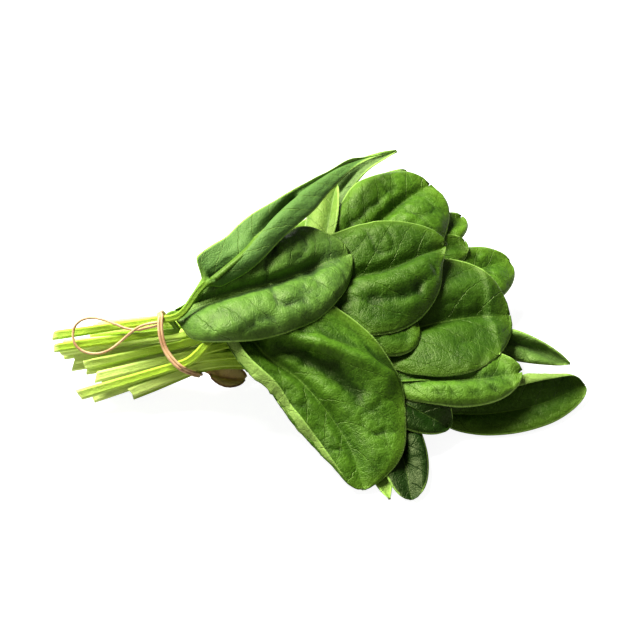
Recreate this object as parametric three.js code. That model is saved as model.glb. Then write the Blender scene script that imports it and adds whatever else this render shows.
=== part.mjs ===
// A bunch of spinach lying on its side, held by a rubber band round its stalks.
// Millimetres, +Z up. The bunch lies on the plane Z = 0, and X runs from the cut ends of the
// stalks to the tips of the leaves. Each leaf is one solid: its stalk, its midrib and its blade.

import * as THREE from 'three';

// ---- driving dimensions ------------------------------------------------------------------
const LAYOUT_LEAN = THREE.MathUtils.degToRad(42); // the layout plane leans back from upright by this
const ORIGIN_SHIFT = [0, -32.4, -1.6];            // moves the middle of the footprint to the origin

const STALK_RADIUS = 2.2;
const BLADE_HALF_THICKNESS = 0.35;
const TIP_HALF_THICKNESS = 0.5;                   // of the midrib where it ends in the blade's tip
const FACE_BY = 0.25;                             // share of a blade in which it turns to its own face
const TIP_HOLD = 2;                               // a section keeps its middle shape this strongly
const CLEARANCE = 0.5;                            // air left between a leaf and what it lies on
const BLADE_STATIONS = [0.035, 0.11, 0.22, 0.35, 0.49, 0.63, 0.76, 0.88, 0.955, 0.99];
const STALK_STEP = 16;                            // longest stretch of stalk between two rings

const TIE_CENTRE = [-72, 28];                     // on the layout plane
const TIE_DEPTH = 15;                             // of the middle of the tie, out from that plane
const TIE_ACROSS = [-0.26, 0.966];                // square to the stalks, on the layout plane
const TIE_ROWS = 6;                               // layers of stalks in the tie
const ROW_PITCH = 4.75;                           // between two layers in the tie
const SAG = 0.1;                                  // of a stalk right of the tie, for its length
const FAN_LENGTH = 40;                            // how far right of the tie the layers last
const FAN_OPENING = 0.035;                        // growth of the row pitch for each mm from the tie
const FAN_RISE = 0.05;                            // rise of the middle layer for each mm
const END_X = -125;                               // about where the stalks are cut
const END_DEPTH = 3.8;                            // of the lowest layer at the cut ends, at v = 0
const END_FALL = 0.5;                             // how fast the layers fall back there as v rises
const END_PITCH = 5.3;                            // between two layers at the cut ends

const BAND_WIDTH = 3.2;                           // of its two turns side by side
const BAND_THICKNESS = 1.4;
const BAND_GROOVE = 0.45;                         // depth of the groove between the turns
const BAND_GAP = 0.4;                             // air between the band and the stalks
const BAND_ACROSS = [-0.524, 0.852];              // its long way, on the layout plane
const BAND_BOW = 6.8;                             // its middle lies nearer the cut ends by this
const BAND_HALF = 18;                             // from its middle to where the bow ends
const BAND_REACH = 32;                            // nothing in the band is further from its middle
const BAND_STEPS = 40;
const LOOP_DIAMETER = 1.4;
const LOOP_STEPS = 44;

const CELL = 0.4;                                 // of the height map that the leaves are laid on
const BLOCKS = 5;                                 // of a quad, each way, that are tested on their own
const SETTLE_PASSES = 40;
const SMOOTHING = 0.3;                            // of the lifts in each pass
const SETTLE_DROP = 0.05;                         // how far a lifted point sinks back in each pass
const STEEPEST = 0.35;                            // share of its thickness that a steep blade shows
const MAP_X = [-150, 160];
const MAP_V = [-70, 150];

const COLOURS = {
  leaf: 0x3f7a24,
  pale: 0x9fbd57,
  withered: 0x9a6a34,
  band: 0xc39a64,
};

// ---- the layout plane --------------------------------------------------------------------
// A place is given as [x, v, z]: x along the bunch, v up the layout plane, z the height above
// the floor. OUT points straight out of the layout plane, which is the way the leaves are piled.
const RISE = new THREE.Vector3(0, Math.sin(LAYOUT_LEAN), Math.cos(LAYOUT_LEAN));
const OUT = new THREE.Vector3(0, -Math.cos(LAYOUT_LEAN), Math.sin(LAYOUT_LEAN));

function place([x, v, z]) {
  return new THREE.Vector3(x, v / Math.sin(LAYOUT_LEAN) - z / Math.tan(LAYOUT_LEAN), z);
}

// The same, for a place given by how far out from the layout plane it is.
function lay(x, v, depth) {
  return new THREE.Vector3(x, 0, 0).addScaledVector(RISE, v).addScaledVector(OUT, depth);
}

// Where a stalk passes the tie: its layer, and how far along the tie's long way it lies.
function tieSlot([row, along]) {
  return lay(
    TIE_CENTRE[0] + along * TIE_ACROSS[0],
    TIE_CENTRE[1] + along * TIE_ACROSS[1],
    TIE_DEPTH + (row - (TIE_ROWS - 1) / 2) * ROW_PITCH,
  );
}

// Left of the tie the stalks lie in layers. How far out a layer is at a place on the layout plane.
function layerDepth(row, x, v) {
  const atTie = TIE_DEPTH + (row - (TIE_ROWS - 1) / 2) * ROW_PITCH;
  const atEnds = END_DEPTH - END_FALL * v + row * END_PITCH;
  const share = Math.max(0, (TIE_CENTRE[0] - x) / (TIE_CENTRE[0] - END_X));
  return THREE.MathUtils.lerp(atTie, atEnds, share ** 1.3);
}

// The stretch of stalk from its cut end to the tie, straight as the layout plane shows it.
function looseEnd([x, v], [row, along]) {
  const tie = tieSlot([row, along]);
  const count = 4;
  const points = [];
  for (let i = 0; i <= count; i += 1) {
    const share = i / count;
    const px = THREE.MathUtils.lerp(x, tie.x, share);
    const pv = THREE.MathUtils.lerp(v, tie.dot(RISE), share);
    points.push(lay(px, pv, layerDepth(row, px, pv)));
  }
  return new THREE.CatmullRomCurve3(points);
}

// ---- the height map ----------------------------------------------------------------------
// For each cell of the layout plane, how far out the pile reaches so far. It starts as the floor.
const MAP_COLUMNS = Math.ceil((MAP_X[1] - MAP_X[0]) / CELL);
const MAP_ROWS = Math.ceil((MAP_V[1] - MAP_V[0]) / CELL);
const pile = new Float32Array(MAP_COLUMNS * MAP_ROWS);
for (let row = 0; row < MAP_ROWS; row += 1) {
  const v = MAP_V[0] + row * CELL;
  pile.fill(-v / Math.tan(LAYOUT_LEAN), row * MAP_COLUMNS, (row + 1) * MAP_COLUMNS);
}

function cellOf(x, v) {
  const column = THREE.MathUtils.clamp(Math.floor((x - MAP_X[0]) / CELL), 0, MAP_COLUMNS - 1);
  const row = THREE.MathUtils.clamp(Math.floor((v - MAP_V[0]) / CELL), 0, MAP_ROWS - 1);
  return row * MAP_COLUMNS + column;
}

// Visits points spread over the quad between four ring points, each [x, v, depth, half thickness].
function overQuad([a, b, c, d], visit) {
  const reach = (p, q) => Math.hypot(p[0] - q[0], p[1] - q[1]);
  const steps = Math.ceil(Math.max(reach(a, b), reach(b, c), reach(c, d), reach(d, a)) / CELL) + 1;
  for (let i = 0; i <= steps; i += 1) {
    for (let j = 0; j <= steps; j += 1) {
      const p = i / steps;
      const q = j / steps;
      const mix = (n) => (a[n] * (1 - p) + b[n] * p) * (1 - q) + (d[n] * (1 - p) + c[n] * p) * q;
      visit(cellOf(mix(0), mix(1)), mix(2), mix(3), p, q);
    }
  }
}

// How far each of a quad's blocks has to move out to clear the pile.
function blockNeeds(corners) {
  const needs = new Float32Array(BLOCKS * BLOCKS).fill(-Infinity);
  overQuad(corners, (cell, depth, half, p, q) => {
    const block = Math.min(Math.floor(p * BLOCKS), BLOCKS - 1) * BLOCKS
      + Math.min(Math.floor(q * BLOCKS), BLOCKS - 1);
    needs[block] = Math.max(needs[block], pile[cell] + CLEARANCE + half - depth);
  });
  return needs;
}

// Moves a sheet of points outwards until it clears the pile, then adds it to the pile. The rows up
// to the one that is held stay where they are, and a stiff row moves as one.
function layOnPile(points, halves, stiff, held) {
  const rows = points.length;
  const columns = points[0].length;
  const normals = sheetNormals(points);
  const flat = points.map((row, k) => row.map((point, j) => {
    const facing = Math.max(Math.abs(normals[k][j].dot(OUT)), STEEPEST);
    return [point.x, point.dot(RISE), point.dot(OUT), halves[k][j] / facing];
  }));
  const quads = [];
  for (let k = 0; k + 1 < rows; k += 1) {
    for (let j = 0; j + 1 < columns; j += 1) {
      const corners = [[k, j], [k + 1, j], [k + 1, j + 1], [k, j + 1]];
      const needs = blockNeeds(corners.map(([m, n]) => flat[m][n]));
      if (k <= held) {
        needs.fill(-Infinity, 0, BLOCKS * Math.ceil(BLOCKS / 2));
      }
      quads.push({ corners, needs });
    }
  }
  const lift = flat.map((row) => row.map(() => 0));
  for (let pass = 0; pass < SETTLE_PASSES; pass += 1) {
    const last = pass > SETTLE_PASSES - 4;
    if (!last) {
      smoothLift(lift);
    }
    for (const { corners, needs } of quads) {
      let worst = 0;
      let shares = [];
      needs.forEach((need, block) => {
        const p = (Math.floor(block / BLOCKS) + 0.5) / BLOCKS;
        const q = ((block % BLOCKS) + 0.5) / BLOCKS;
        const weights = [(1 - p) * (1 - q), p * (1 - q), p * q, (1 - p) * q];
        const lack = need - corners.reduce((sum, [m, n], i) => sum + weights[i] * lift[m][n], 0);
        if (lack > worst) {
          worst = lack;
          shares = last ? [1, 1, 1, 1] : weights;
        }
      });
      const total = last ? 1 : shares.reduce((sum, w) => sum + w * w, 0);
      shares.forEach((w, i) => {
        const [m, n] = corners[i];
        lift[m][n] += (worst * w) / total;
      });
    }
    lift.forEach((row, k) => {
      if (k <= held) {
        row.fill(0);
      } else if (stiff[k]) {
        row.fill(Math.max(...row));
      }
    });
  }
  points.forEach((row, k) => row.forEach((point, j) => {
    point.addScaledVector(OUT, lift[k][j]);
    flat[k][j][2] += lift[k][j];
  }));
  for (const { corners } of quads) {
    overQuad(corners.map(([m, n]) => flat[m][n]), (cell, depth, half) => {
      pile[cell] = Math.max(pile[cell], depth + half);
    });
  }
}

function smoothLift(lift) {
  const before = lift.map((row) => row.slice());
  const at = (k, j) => before[THREE.MathUtils.clamp(k, 0, before.length - 1)][
    THREE.MathUtils.clamp(j, 0, before[0].length - 1)];
  before.forEach((row, k) => row.forEach((own, j) => {
    const around = (at(k - 1, j) + at(k + 1, j) + at(k, j - 1) + at(k, j + 1)) / 4;
    lift[k][j] = Math.max(0, own + SMOOTHING * (around - own) - SETTLE_DROP);
  }));
}

// ---- one leaf ----------------------------------------------------------------------------
// Half-width of a blade of half-width 1 at the share t of its length.
function outline(t, widest, baseBluntness, tipBluntness) {
  const tau = t ** (Math.log(0.5) / Math.log(widest));
  const bluntness = tau < 0.5 ? baseBluntness : tipBluntness;
  return Math.max(1 - (2 * tau - 1) ** 2, 0) ** (1 / bluntness);
}

// Slope of a half blade in degrees at the share q of its width. Each knot is
// [q, slope at the base, slope in the middle, slope at the tip] and positive is upwards.
function slopeAt(knots, q, t) {
  const alongBlade = (knot) => (t < 0.5
    ? THREE.MathUtils.lerp(knot[1], knot[2], t * 2)
    : THREE.MathUtils.lerp(knot[2], knot[3], (t * 2 - 1) ** TIP_HOLD));
  let i = 0;
  while (i < knots.length - 2 && q > knots[i + 1][0]) {
    i += 1;
  }
  const share = (q - knots[i][0]) / (knots[i + 1][0] - knots[i][0]);
  return THREE.MathUtils.lerp(alongBlade(knots[i]), alongBlade(knots[i + 1]), share);
}

// Where the share q of a half blade of half-width 1 lies: [across, up].
function sectionPoint(knots, q, t) {
  const steps = 24;
  let across = 0;
  let up = 0;
  for (let i = 0; i < steps; i += 1) {
    const slope = THREE.MathUtils.degToRad(slopeAt(knots, (q * (i + 0.5)) / steps, t));
    across += (Math.cos(slope) * q) / steps;
    up += (Math.sin(slope) * q) / steps;
  }
  return [across, up];
}

function leafRings(leaf) {
  const rib = new THREE.CatmullRomCurve3(leaf.rib.map(place), false, 'centripetal');
  const base = rib.getPoint(0);
  const lower = looseEnd(leaf.end, leaf.slot);
  const tie = lower.getPoint(1);
  const reach = tie.distanceTo(base) / 3;
  const upper = new THREE.CubicBezierCurve3(
    tie,
    tie.clone().addScaledVector(lower.getTangent(1), reach),
    base.clone().addScaledVector(rib.getTangent(0), -reach),
    base,
  );
  const tieRing = Math.ceil(lower.getLength() / STALK_STEP);
  const upperSteps = Math.ceil(upper.getLength() / STALK_STEP);
  const stations = [];
  for (let i = 0; i <= tieRing; i += 1) {
    stations.push({ point: lower.getPoint(i / tieRing), t: 0, stalk: true });
  }
  for (let i = 1; i <= upperSteps; i += 1) {
    const u = i / upperSteps;
    const sag = SAG * upper.getLength() * 4 * u * (1 - u);
    const point = leaveTie(upper.getPoint(u).addScaledVector(OUT, -sag), tie, leaf.slot[0]);
    stations.push({ point, t: 0, stalk: true });
  }
  for (const t of BLADE_STATIONS) {
    stations.push({ point: leaveTie(rib.getPointAt(t), tie, leaf.slot[0]), t, stalk: false });
  }
  stations.forEach((station, k) => {
    const next = stations[Math.min(k + 1, stations.length - 1)].point;
    const last = stations[Math.max(k - 1, 0)].point;
    station.way = next.clone().sub(last).normalize();
  });
  return { stations, tieRing };
}

// Just right of the tie the stalks are still in layers, which open as they leave it.
function leaveTie(point, tie, row) {
  const away = Math.hypot(point.x - tie.x, point.dot(RISE) - tie.dot(RISE));
  const pitch = ROW_PITCH + FAN_OPENING * away;
  const depth = TIE_DEPTH + FAN_RISE * away + (row - (TIE_ROWS - 1) / 2) * pitch;
  const share = 1 - THREE.MathUtils.smoothstep(away, 0, FAN_LENGTH);
  return point.clone().addScaledVector(OUT, share * (depth - point.dot(OUT)));
}

// The direction square to the sheet at each of its points.
function sheetNormals(points) {
  const at = (k, j) => points[THREE.MathUtils.clamp(k, 0, points.length - 1)][
    THREE.MathUtils.clamp(j, 0, points[0].length - 1)];
  return points.map((row, k) => row.map((_, j) => at(k + 1, j).clone().sub(at(k - 1, j))
    .cross(at(k, j + 1).clone().sub(at(k, j - 1)))
    .normalize()));
}

function leafSheet(leaf) {
  const { stations, tieRing } = leafRings(leaf);
  const radius = leaf.radius ?? STALK_RADIUS;
  const face = new THREE.Vector3(...(leaf.face ?? PILE_FACE)).normalize();
  const leftShares = leaf.left.columns ?? PLAIN_COLUMNS;
  const rightShares = leaf.right.columns ?? PLAIN_COLUMNS;
  const columns = [
    ...rightShares.map((q) => [-1, q]).reverse(),
    [1, 0],
    ...leftShares.map((q) => [1, q]),
  ];
  const points = [];
  const halves = [];
  for (const { point, way, t, stalk } of stations) {
    const facing = OUT.clone().lerp(face, THREE.MathUtils.smoothstep(t, 0, FACE_BY));
    const side = new THREE.Vector3().crossVectors(facing, way).normalize();
    const up = new THREE.Vector3().crossVectors(way, side);
    const ribHalf = THREE.MathUtils.lerp(radius, TIP_HALF_THICKNESS, t ** 0.2);
    points.push([]);
    halves.push([]);
    columns.forEach(([sign, q], j) => {
      const place3 = point.clone();
      if (stalk) {
        const angle = (Math.PI * (j + 0.5)) / columns.length;
        place3.addScaledVector(side, -radius * Math.cos(angle));
        halves.at(-1).push(radius * Math.sin(angle));
      } else {
        const half = sign > 0 ? leaf.left : leaf.right;
        const [base, tip] = [half.base ?? leaf.blunt[0], half.tip ?? leaf.blunt[1]];
        const swell = outline(t, half.widest ?? leaf.widest, base, tip);
        const reach = Math.max(half.width * swell, radius * 0.8 * (1 - t) + 0.3);
        const [out, rise] = sectionPoint(half.section, q, t);
        place3.addScaledVector(side, sign * reach * out).addScaledVector(up, reach * rise);
        halves.at(-1).push(q === 0 ? ribHalf : BLADE_HALF_THICKNESS);
      }
      points.at(-1).push(place3);
    });
  }
  const stiff = stations.map(({ stalk }) => stalk || leaf.stiff === true);
  return { points, halves, stiff, tieRing };
}

// Closes a sheet of points into a solid: each ring runs over the top and back underneath.
function solidFromSheet(points, halves) {
  const rows = points.length;
  const columns = points[0].length;
  const ring = columns * 2;
  const normals = sheetNormals(points);
  const positions = [];
  for (let k = 0; k < rows; k += 1) {
    for (let i = 0; i < ring; i += 1) {
      const j = i < columns ? i : ring - 1 - i;
      const out = i < columns ? halves[k][j] : -halves[k][j];
      const vertex = points[k][j].clone().addScaledVector(normals[k][j], out);
      positions.push(vertex.x, vertex.y, vertex.z);
    }
  }
  const faces = [];
  for (let k = 0; k + 1 < rows; k += 1) {
    for (let i = 0; i < ring; i += 1) {
      const a = k * ring + i;
      const b = k * ring + ((i + 1) % ring);
      faces.push(a, a + ring, b, b, a + ring, b + ring);
    }
  }
  const last = (rows - 1) * ring;
  for (let j = 0; j + 1 < columns; j += 1) {
    const under = ring - 1 - j;
    faces.push(j, j + 1, under, under, j + 1, under - 1);
    faces.push(last + j, last + under, last + j + 1, last + under, last + under - 1, last + j + 1);
  }
  const geometry = new THREE.BufferGeometry();
  geometry.setAttribute('position', new THREE.Float32BufferAttribute(positions, 3));
  geometry.setIndex(faces);
  geometry.computeVertexNormals();
  return geometry;
}

// ---- the leaves, in the order in which they lie on each other, lowest first ----------------
const PILE_FACE = [0, -0.42, 0.91];
const PLAIN_COLUMNS = [0.5, 1];
const FINE_COLUMNS = [0.35, 0.7, 1];
const FLAT = [[0, 12, 10, 6], [1, -10, -14, -10]];
const ARCHED = [[0, 25, 22, 12], [0.5, 0, 0, 0], [1, -28, -30, -20]];
const CUPPED = [[0, 12, 12, 10], [1, 30, 34, 24]];

function half(width, section, columns, more) {
  return { width, section, columns, ...more };
}

const LEAVES = [
  {
    name: 'leaf_withered', end: [-92, 6], slot: [0, -13], radius: 1.7, material: 'withered',
    rib: [[-58, 15, 5], [-50, 11, 4], [-40, 10, 3]],
    widest: 0.5, blunt: [2, 2],
    left: half(5, FLAT), right: half(5, FLAT),
  },
  {
    name: 'leaf_floor_front', end: [-110, 8], slot: [0, -8],
    rib: [[-30, 24, 9], [0, 10, 6], [24, -6, 4], [38, -18, 3]],
    widest: 0.5, blunt: [1.7, 1.9],
    left: half(24, FLAT), right: half(16, FLAT), face: [0, 0, 1],
  },
  {
    name: 'leaf_floor_right', end: [-116, 14], slot: [0, -3],
    rib: [[-14, 26, 9], [20, 16, 6], [56, 4, 4], [84, -2, 3]],
    widest: 0.55, blunt: [1.8, 2],
    left: half(25, FLAT), right: half(20, FLAT), face: [0, 0, 1],
  },
  {
    name: 'leaf_floor_middle', end: [-118, 20], slot: [0, 2],
    rib: [[-16, 38, 9], [22, 36, 6], [60, 32, 4], [92, 27, 3]],
    widest: 0.5, blunt: [1.9, 2],
    left: half(23, FLAT), right: half(26, FLAT), face: [0, 0, 1],
  },
  {
    name: 'leaf_floor_back', end: [-112, 26], slot: [0, 7],
    rib: [[-20, 51, 10], [14, 60, 6], [48, 64, 4], [76, 60, 3]],
    widest: 0.5, blunt: [1.9, 2],
    left: half(25, FLAT), right: half(24, FLAT), face: [0, 0, 1],
  },
  {
    name: 'leaf_floor_far_back', end: [-104, 33], slot: [0, 12],
    rib: [[-36, 62, 12], [-14, 76, 8], [12, 86, 5], [36, 88, 3]],
    widest: 0.5, blunt: [1.9, 2],
    left: half(20, FLAT), right: half(22, FLAT), face: [0, 0.1, 1],
  },
  {
    name: 'leaf_tip_front_pale', end: [-98, 3], slot: [1, -14], material: 'pale',
    rib: [[-10, 8, 12], [19, -11, 9], [31, -32, 6], [35, -48.5, 2]],
    widest: 0.5, blunt: [1.7, 1.3],
    left: half(7, FLAT), right: half(12, FLAT),
  },
  {
    name: 'leaf_front_dark', end: [-114, 9], slot: [1, -9],
    rib: [[6, 8, 14], [32, -8, 12], [42, -28, 8], [46, -49, 2]],
    widest: 0.6, blunt: [1.8, 2.2],
    left: half(13, FLAT), right: half(12, FLAT),
  },
  {
    name: 'leaf_far_right_cupped', end: [-122, 16], slot: [1, -4],
    rib: [[58, -6, 10], [86, -7, 8], [115, -2, 8], [139, 7, 7]],
    widest: 0.5, blunt: [1.9, 2], stiff: true,
    left: half(27, [[0, 8, 8, 8], [0.6, 15, 20, 15], [0.78, 60, 160, 110], [1, 60, 175, 120]],
      [0.35, 0.62, 0.7, 0.78, 1]),
    right: half(13, FLAT),
  },
  {
    name: 'leaf_far_right_slim', end: [-126, 22], slot: [1, 1],
    rib: [[72, 32, 18], [98, 30, 17], [117, 24, 14], [132, 18.5, 10]],
    widest: 0.45, blunt: [1.9, 1.3],
    left: half(8, CUPPED), right: half(7, CUPPED),
  },
  {
    name: 'leaf_back_slope_right', end: [-118, 28], slot: [1, 6.5],
    rib: [[6, 66, 26], [32, 74, 25], [58, 72, 19], [78, 62, 11]],
    widest: 0.5, blunt: [1.8, 2],
    left: half(22, ARCHED), right: half(22, ARCHED), face: [0, 0.35, 0.93],
  },
  {
    name: 'leaf_back_slope_left', end: [-108, 34], slot: [1, 12],
    rib: [[-26, 66, 26], [-6, 80, 27], [20, 90, 23], [42, 88, 14]],
    widest: 0.5, blunt: [1.8, 2],
    left: half(22, ARCHED), right: half(20, ARCHED), face: [0, 0.4, 0.9],
  },
  {
    name: 'leaf_low_right_dark', end: [-118, 1], slot: [2, -11],
    rib: [[18, 14, 17], [39, 2, 14], [54, -7, 11], [66, -14, 8]],
    widest: 0.55, blunt: [1.8, 2],
    left: half(16, FLAT), right: half(13, FLAT),
  },
  {
    name: 'leaf_inner_middle', end: [-134, 24], slot: [2, 4.2],
    rib: [[-6, 44, 26], [24, 50, 26], [56, 54, 22], [82, 52, 17]],
    widest: 0.5, blunt: [1.8, 2],
    left: half(24, FLAT), right: half(24, FLAT),
  },
  {
    name: 'leaf_right_top', end: [-129, 18], slot: [2, -1],
    rib: [[45, 49, 28], [68, 61, 29], [88, 69.5, 27], [103, 74, 24]],
    widest: 0.5, blunt: [2, 2.2],
    left: half(16, FLAT), right: half(22, FLAT),
  },
  {
    name: 'leaf_inner_back', end: [-120, 32], slot: [2, 10],
    rib: [[-20, 60, 30], [4, 76, 33], [26, 88, 33], [44, 94, 30]],
    widest: 0.5, blunt: [1.8, 2],
    left: half(29, FLAT), right: half(22, FLAT), face: [0, -0.1, 1],
  },
  {
    name: 'leaf_top_behind', end: [-116, 38], slot: [2, 15],
    rib: [[6, 84, 40], [22, 101, 43], [37, 116, 44], [48, 124, 43]],
    widest: 0.5, blunt: [1.9, 2.2],
    left: half(8, FLAT), right: half(20, FLAT),
  },
  {
    name: 'leaf_right_light', end: [-128, 22], slot: [3, 2],
    rib: [[34, 72, 38], [55, 84, 40], [68, 91, 39], [76.5, 97, 37]],
    widest: 0.5, blunt: [1.9, 2.2],
    left: half(10, FLAT), right: half(12, FLAT),
  },
  {
    name: 'leaf_right_shaded', end: [-121, 16], slot: [3, -3],
    rib: [[34, 61, 34], [52, 72, 36], [68, 80, 35], [78, 84, 32]],
    widest: 0.5, blunt: [1.9, 2.2],
    left: half(11, FLAT), right: half(14, FLAT),
  },
  {
    name: 'leaf_top_narrow', end: [-119, 36], slot: [3, 12],
    rib: [[-4, 78, 42], [8, 106, 48], [23, 124.5, 54], [42, 134, 57]],
    widest: 0.5, blunt: [1.8, 1.2],
    left: half(6.5, FLAT), right: half(4.5, FLAT),
  },
  {
    name: 'leaf_top_round', end: [-134, 28], slot: [3, 7],
    rib: [[10, 68, 42], [25, 87, 48], [42, 103, 51], [59, 114.5, 52]],
    widest: 0.55, blunt: [2, 2.3],
    left: half(25, ARCHED, FINE_COLUMNS), right: half(33, ARCHED, FINE_COLUMNS, { tip: 3 }),
  },
  {
    name: 'leaf_right_blistered', end: [-98, 4], slot: [3, -13],
    rib: [[34, 10, 20], [58, 11, 18], [82, 11, 14], [103, 14, 9]],
    widest: 0.5, blunt: [1.9, 2.1],
    left: half(19, FLAT), right: half(15, FLAT),
  },
  {
    name: 'leaf_right_large', end: [-113, 10], slot: [3, -8],
    rib: [[26, 30, 29], [50, 38, 31], [76, 43, 29], [100, 44, 24]],
    widest: 0.5, blunt: [2, 2.1],
    left: half(38, FLAT, FINE_COLUMNS), right: half(32, FLAT, FINE_COLUMNS),
  },
  {
    name: 'leaf_middle_small', end: [-116, 12], slot: [4, -5],
    rib: [[14, 40, 32], [28, 40, 34], [40, 41, 34], [50, 42, 32]],
    widest: 0.6, blunt: [2, 2.2],
    left: half(12, FLAT), right: half(20, FLAT),
  },
  {
    name: 'leaf_top_pale_edge', end: [-136, 26], slot: [4, 6], material: 'pale',
    rib: [[-1, 70, 44], [3, 84, 48], [6, 100, 52], [9, 114, 55]],
    widest: 0.5, blunt: [1.8, 1.6],
    left: half(8, FLAT), right: half(4, FLAT),
  },
  {
    name: 'leaf_middle_broad', end: [-122, 18], slot: [4, 1],
    rib: [[-20, 50, 38], [6, 61, 45], [36, 68, 48], [66, 80, 50]],
    widest: 0.55, blunt: [2, 2.2],
    left: half(29, ARCHED, FINE_COLUMNS, { base: 3.5 }), right: half(35, ARCHED, FINE_COLUMNS, { tip: 0.85 }),
  },
  {
    name: 'leaf_front_large', end: [-124, 3], slot: [5, -9],
    rib: [[-41, 42, 41], [-30, 26, 36], [-10, 10.5, 26.5], [7, -10, 17], [17, -27, 10.5], [22, -44, 3]],
    widest: 0.48, blunt: [2.1, 1.5], stiff: true,
    left: half(45, [[0, 16, 14, 8], [0.5, -2, -2, -2], [1, -20, -24, -16]], FINE_COLUMNS, { tip: 1.5 }),
    right: half(31, [[0, 15, 12, 6], [0.56, 25, 10, 4], [0.68, 150, 30, 4], [0.8, 174, 165, 100],
      [1, 176, 175, 150]], [0.3, 0.56, 0.68, 0.8, 1], { base: 4, tip: 2.2 }),
  },
  {
    name: 'leaf_front_blunt', end: [-138, 27], slot: [5, 8.5], radius: 1.9,
    rib: [[-77, 44, 54], [-50, 54, 56], [-22, 62, 57], [1, 71, 56], [15, 76, 52]],
    widest: 0.5, blunt: [2.4, 2.3], face: [0, -0.65, 0.75],
    left: half(27, [[0, 25, 15, -8], [0.5, 0, -10, -15], [1, -28, -34, -25]], FINE_COLUMNS,
      { base: 0.5, tip: 3 }),
    right: half(28, ARCHED, FINE_COLUMNS, { tip: 1.5 }),
  },
  {
    name: 'leaf_top_folded', end: [-139, 33.5], slot: [5, 15], radius: 1.8,
    rib: [[-60, 59, 55], [-39, 78, 70], [-25, 95, 79], [-8, 110.5, 80], [14, 125, 76], [34, 131, 68]],
    widest: 0.42, blunt: [2.2, 1.4], stiff: true, face: [0, 0, 1],
    left: half(17, [[0, -62, -62, -30], [0.14, -62, -62, -30], [0.3, 5, 5, 0], [1, 18, 10, 0]],
      [0.14, 0.3, 0.6, 1], { base: 4, tip: 0.22, widest: 0.2 }),
    right: half(12.5, [[0, 30, 30, 20], [0.2, -10, -10, 0], [0.5, -50, -50, -35], [1, -62, -60, -40]],
      [0.2, 0.4, 0.6, 0.8, 1], { tip: 0.6 }),
  },
];

// ---- the rubber band ---------------------------------------------------------------------
const BAND_ALONG = new THREE.Vector3(BAND_ACROSS[0], 0, 0)
  .addScaledVector(RISE, BAND_ACROSS[1])
  .normalize();
const BAND_FACING = new THREE.Vector3().crossVectors(BAND_ALONG, OUT);
const BAND_MIDDLE = tieSlot([(TIE_ROWS - 1) / 2, 0]);

function bandBow(along) {
  return BAND_BOW * Math.max(0, 1 - (along / BAND_HALF) ** 2);
}

// Where a leaf's surface passes through the band's width, seen square to the band: [along, out].
function placesInBand(geometry) {
  const { array } = geometry.getAttribute('position');
  const index = geometry.getIndex().array;
  const reach = BAND_WIDTH / 2 + BAND_GAP;
  const local = (n) => {
    const away = new THREE.Vector3().fromArray(array, n * 3).sub(BAND_MIDDLE);
    const along = away.dot(BAND_ALONG);
    return new THREE.Vector3(along, away.dot(OUT), away.dot(BAND_FACING) + bandBow(along));
  };
  const places = [];
  for (let i = 0; i < index.length; i += 1) {
    const from = local(index[i]);
    const to = local(index[i % 3 === 2 ? i - 2 : i + 1]);
    const crossings = [-reach, reach]
      .map((level) => (level - from.z) / (to.z - from.z))
      .sort((a, b) => a - b);
    const start = Math.max(crossings[0], 0);
    const end = Math.min(crossings[1], 1);
    if (start < end) {
      places.push(from.clone().lerp(to, start), from.clone().lerp(to, end));
    }
  }
  return places.filter((at) => Math.hypot(at.x, at.y) < BAND_REACH);
}

// One closed ring drawn tight round the stalks, with a groove between its two turns.
function rubberBand(places) {
  const a = BAND_THICKNESS / 2;
  const b = BAND_WIDTH / 2;
  const section = [
    [a * 0.4, -b], [a, -b * 0.75], [a, -b * 0.3], [a - BAND_GROOVE, 0],
    [a, b * 0.3], [a, b * 0.75], [a * 0.4, b], [-a, b * 0.8], [-a, -b * 0.8],
  ];
  const ring = [];
  for (let i = 0; i < BAND_STEPS; i += 1) {
    const angle = (2 * Math.PI * i) / BAND_STEPS;
    const outward = new THREE.Vector3(Math.cos(angle), Math.sin(angle), 0);
    const flat = (at) => at.x * outward.x + at.y * outward.y;
    const touched = places.reduce((best, at) => (flat(at) > flat(best) ? at : best));
    const away = BAND_ALONG.clone().multiplyScalar(outward.x).addScaledVector(OUT, outward.y);
    const along = touched.x + outward.x * (BAND_GAP + a);
    const centre = BAND_MIDDLE.clone()
      .addScaledVector(BAND_ALONG, along)
      .addScaledVector(OUT, touched.y + outward.y * (BAND_GAP + a))
      .addScaledVector(BAND_FACING, -bandBow(along));
    ring.push({ centre, away });
  }
  const positions = [];
  const faces = [];
  ring.forEach(({ centre, away }, i) => {
    const before = ring.at(i - 1).centre;
    const after = ring[(i + 1) % BAND_STEPS].centre;
    const side = new THREE.Vector3().crossVectors(after.clone().sub(before), away).normalize();
    section.forEach(([out, wide], j) => {
      const vertex = centre.clone().addScaledVector(away, out).addScaledVector(side, -wide);
      positions.push(vertex.x, vertex.y, vertex.z);
      const here = i * section.length;
      const next = ((i + 1) % BAND_STEPS) * section.length;
      const k = (j + 1) % section.length;
      faces.push(here + j, next + j, here + k, here + k, next + j, next + k);
    });
  });
  const geometry = new THREE.BufferGeometry();
  geometry.setAttribute('position', new THREE.Float32BufferAttribute(positions, 3));
  geometry.setIndex(faces);
  geometry.computeVertexNormals();
  return geometry;
}

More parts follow.
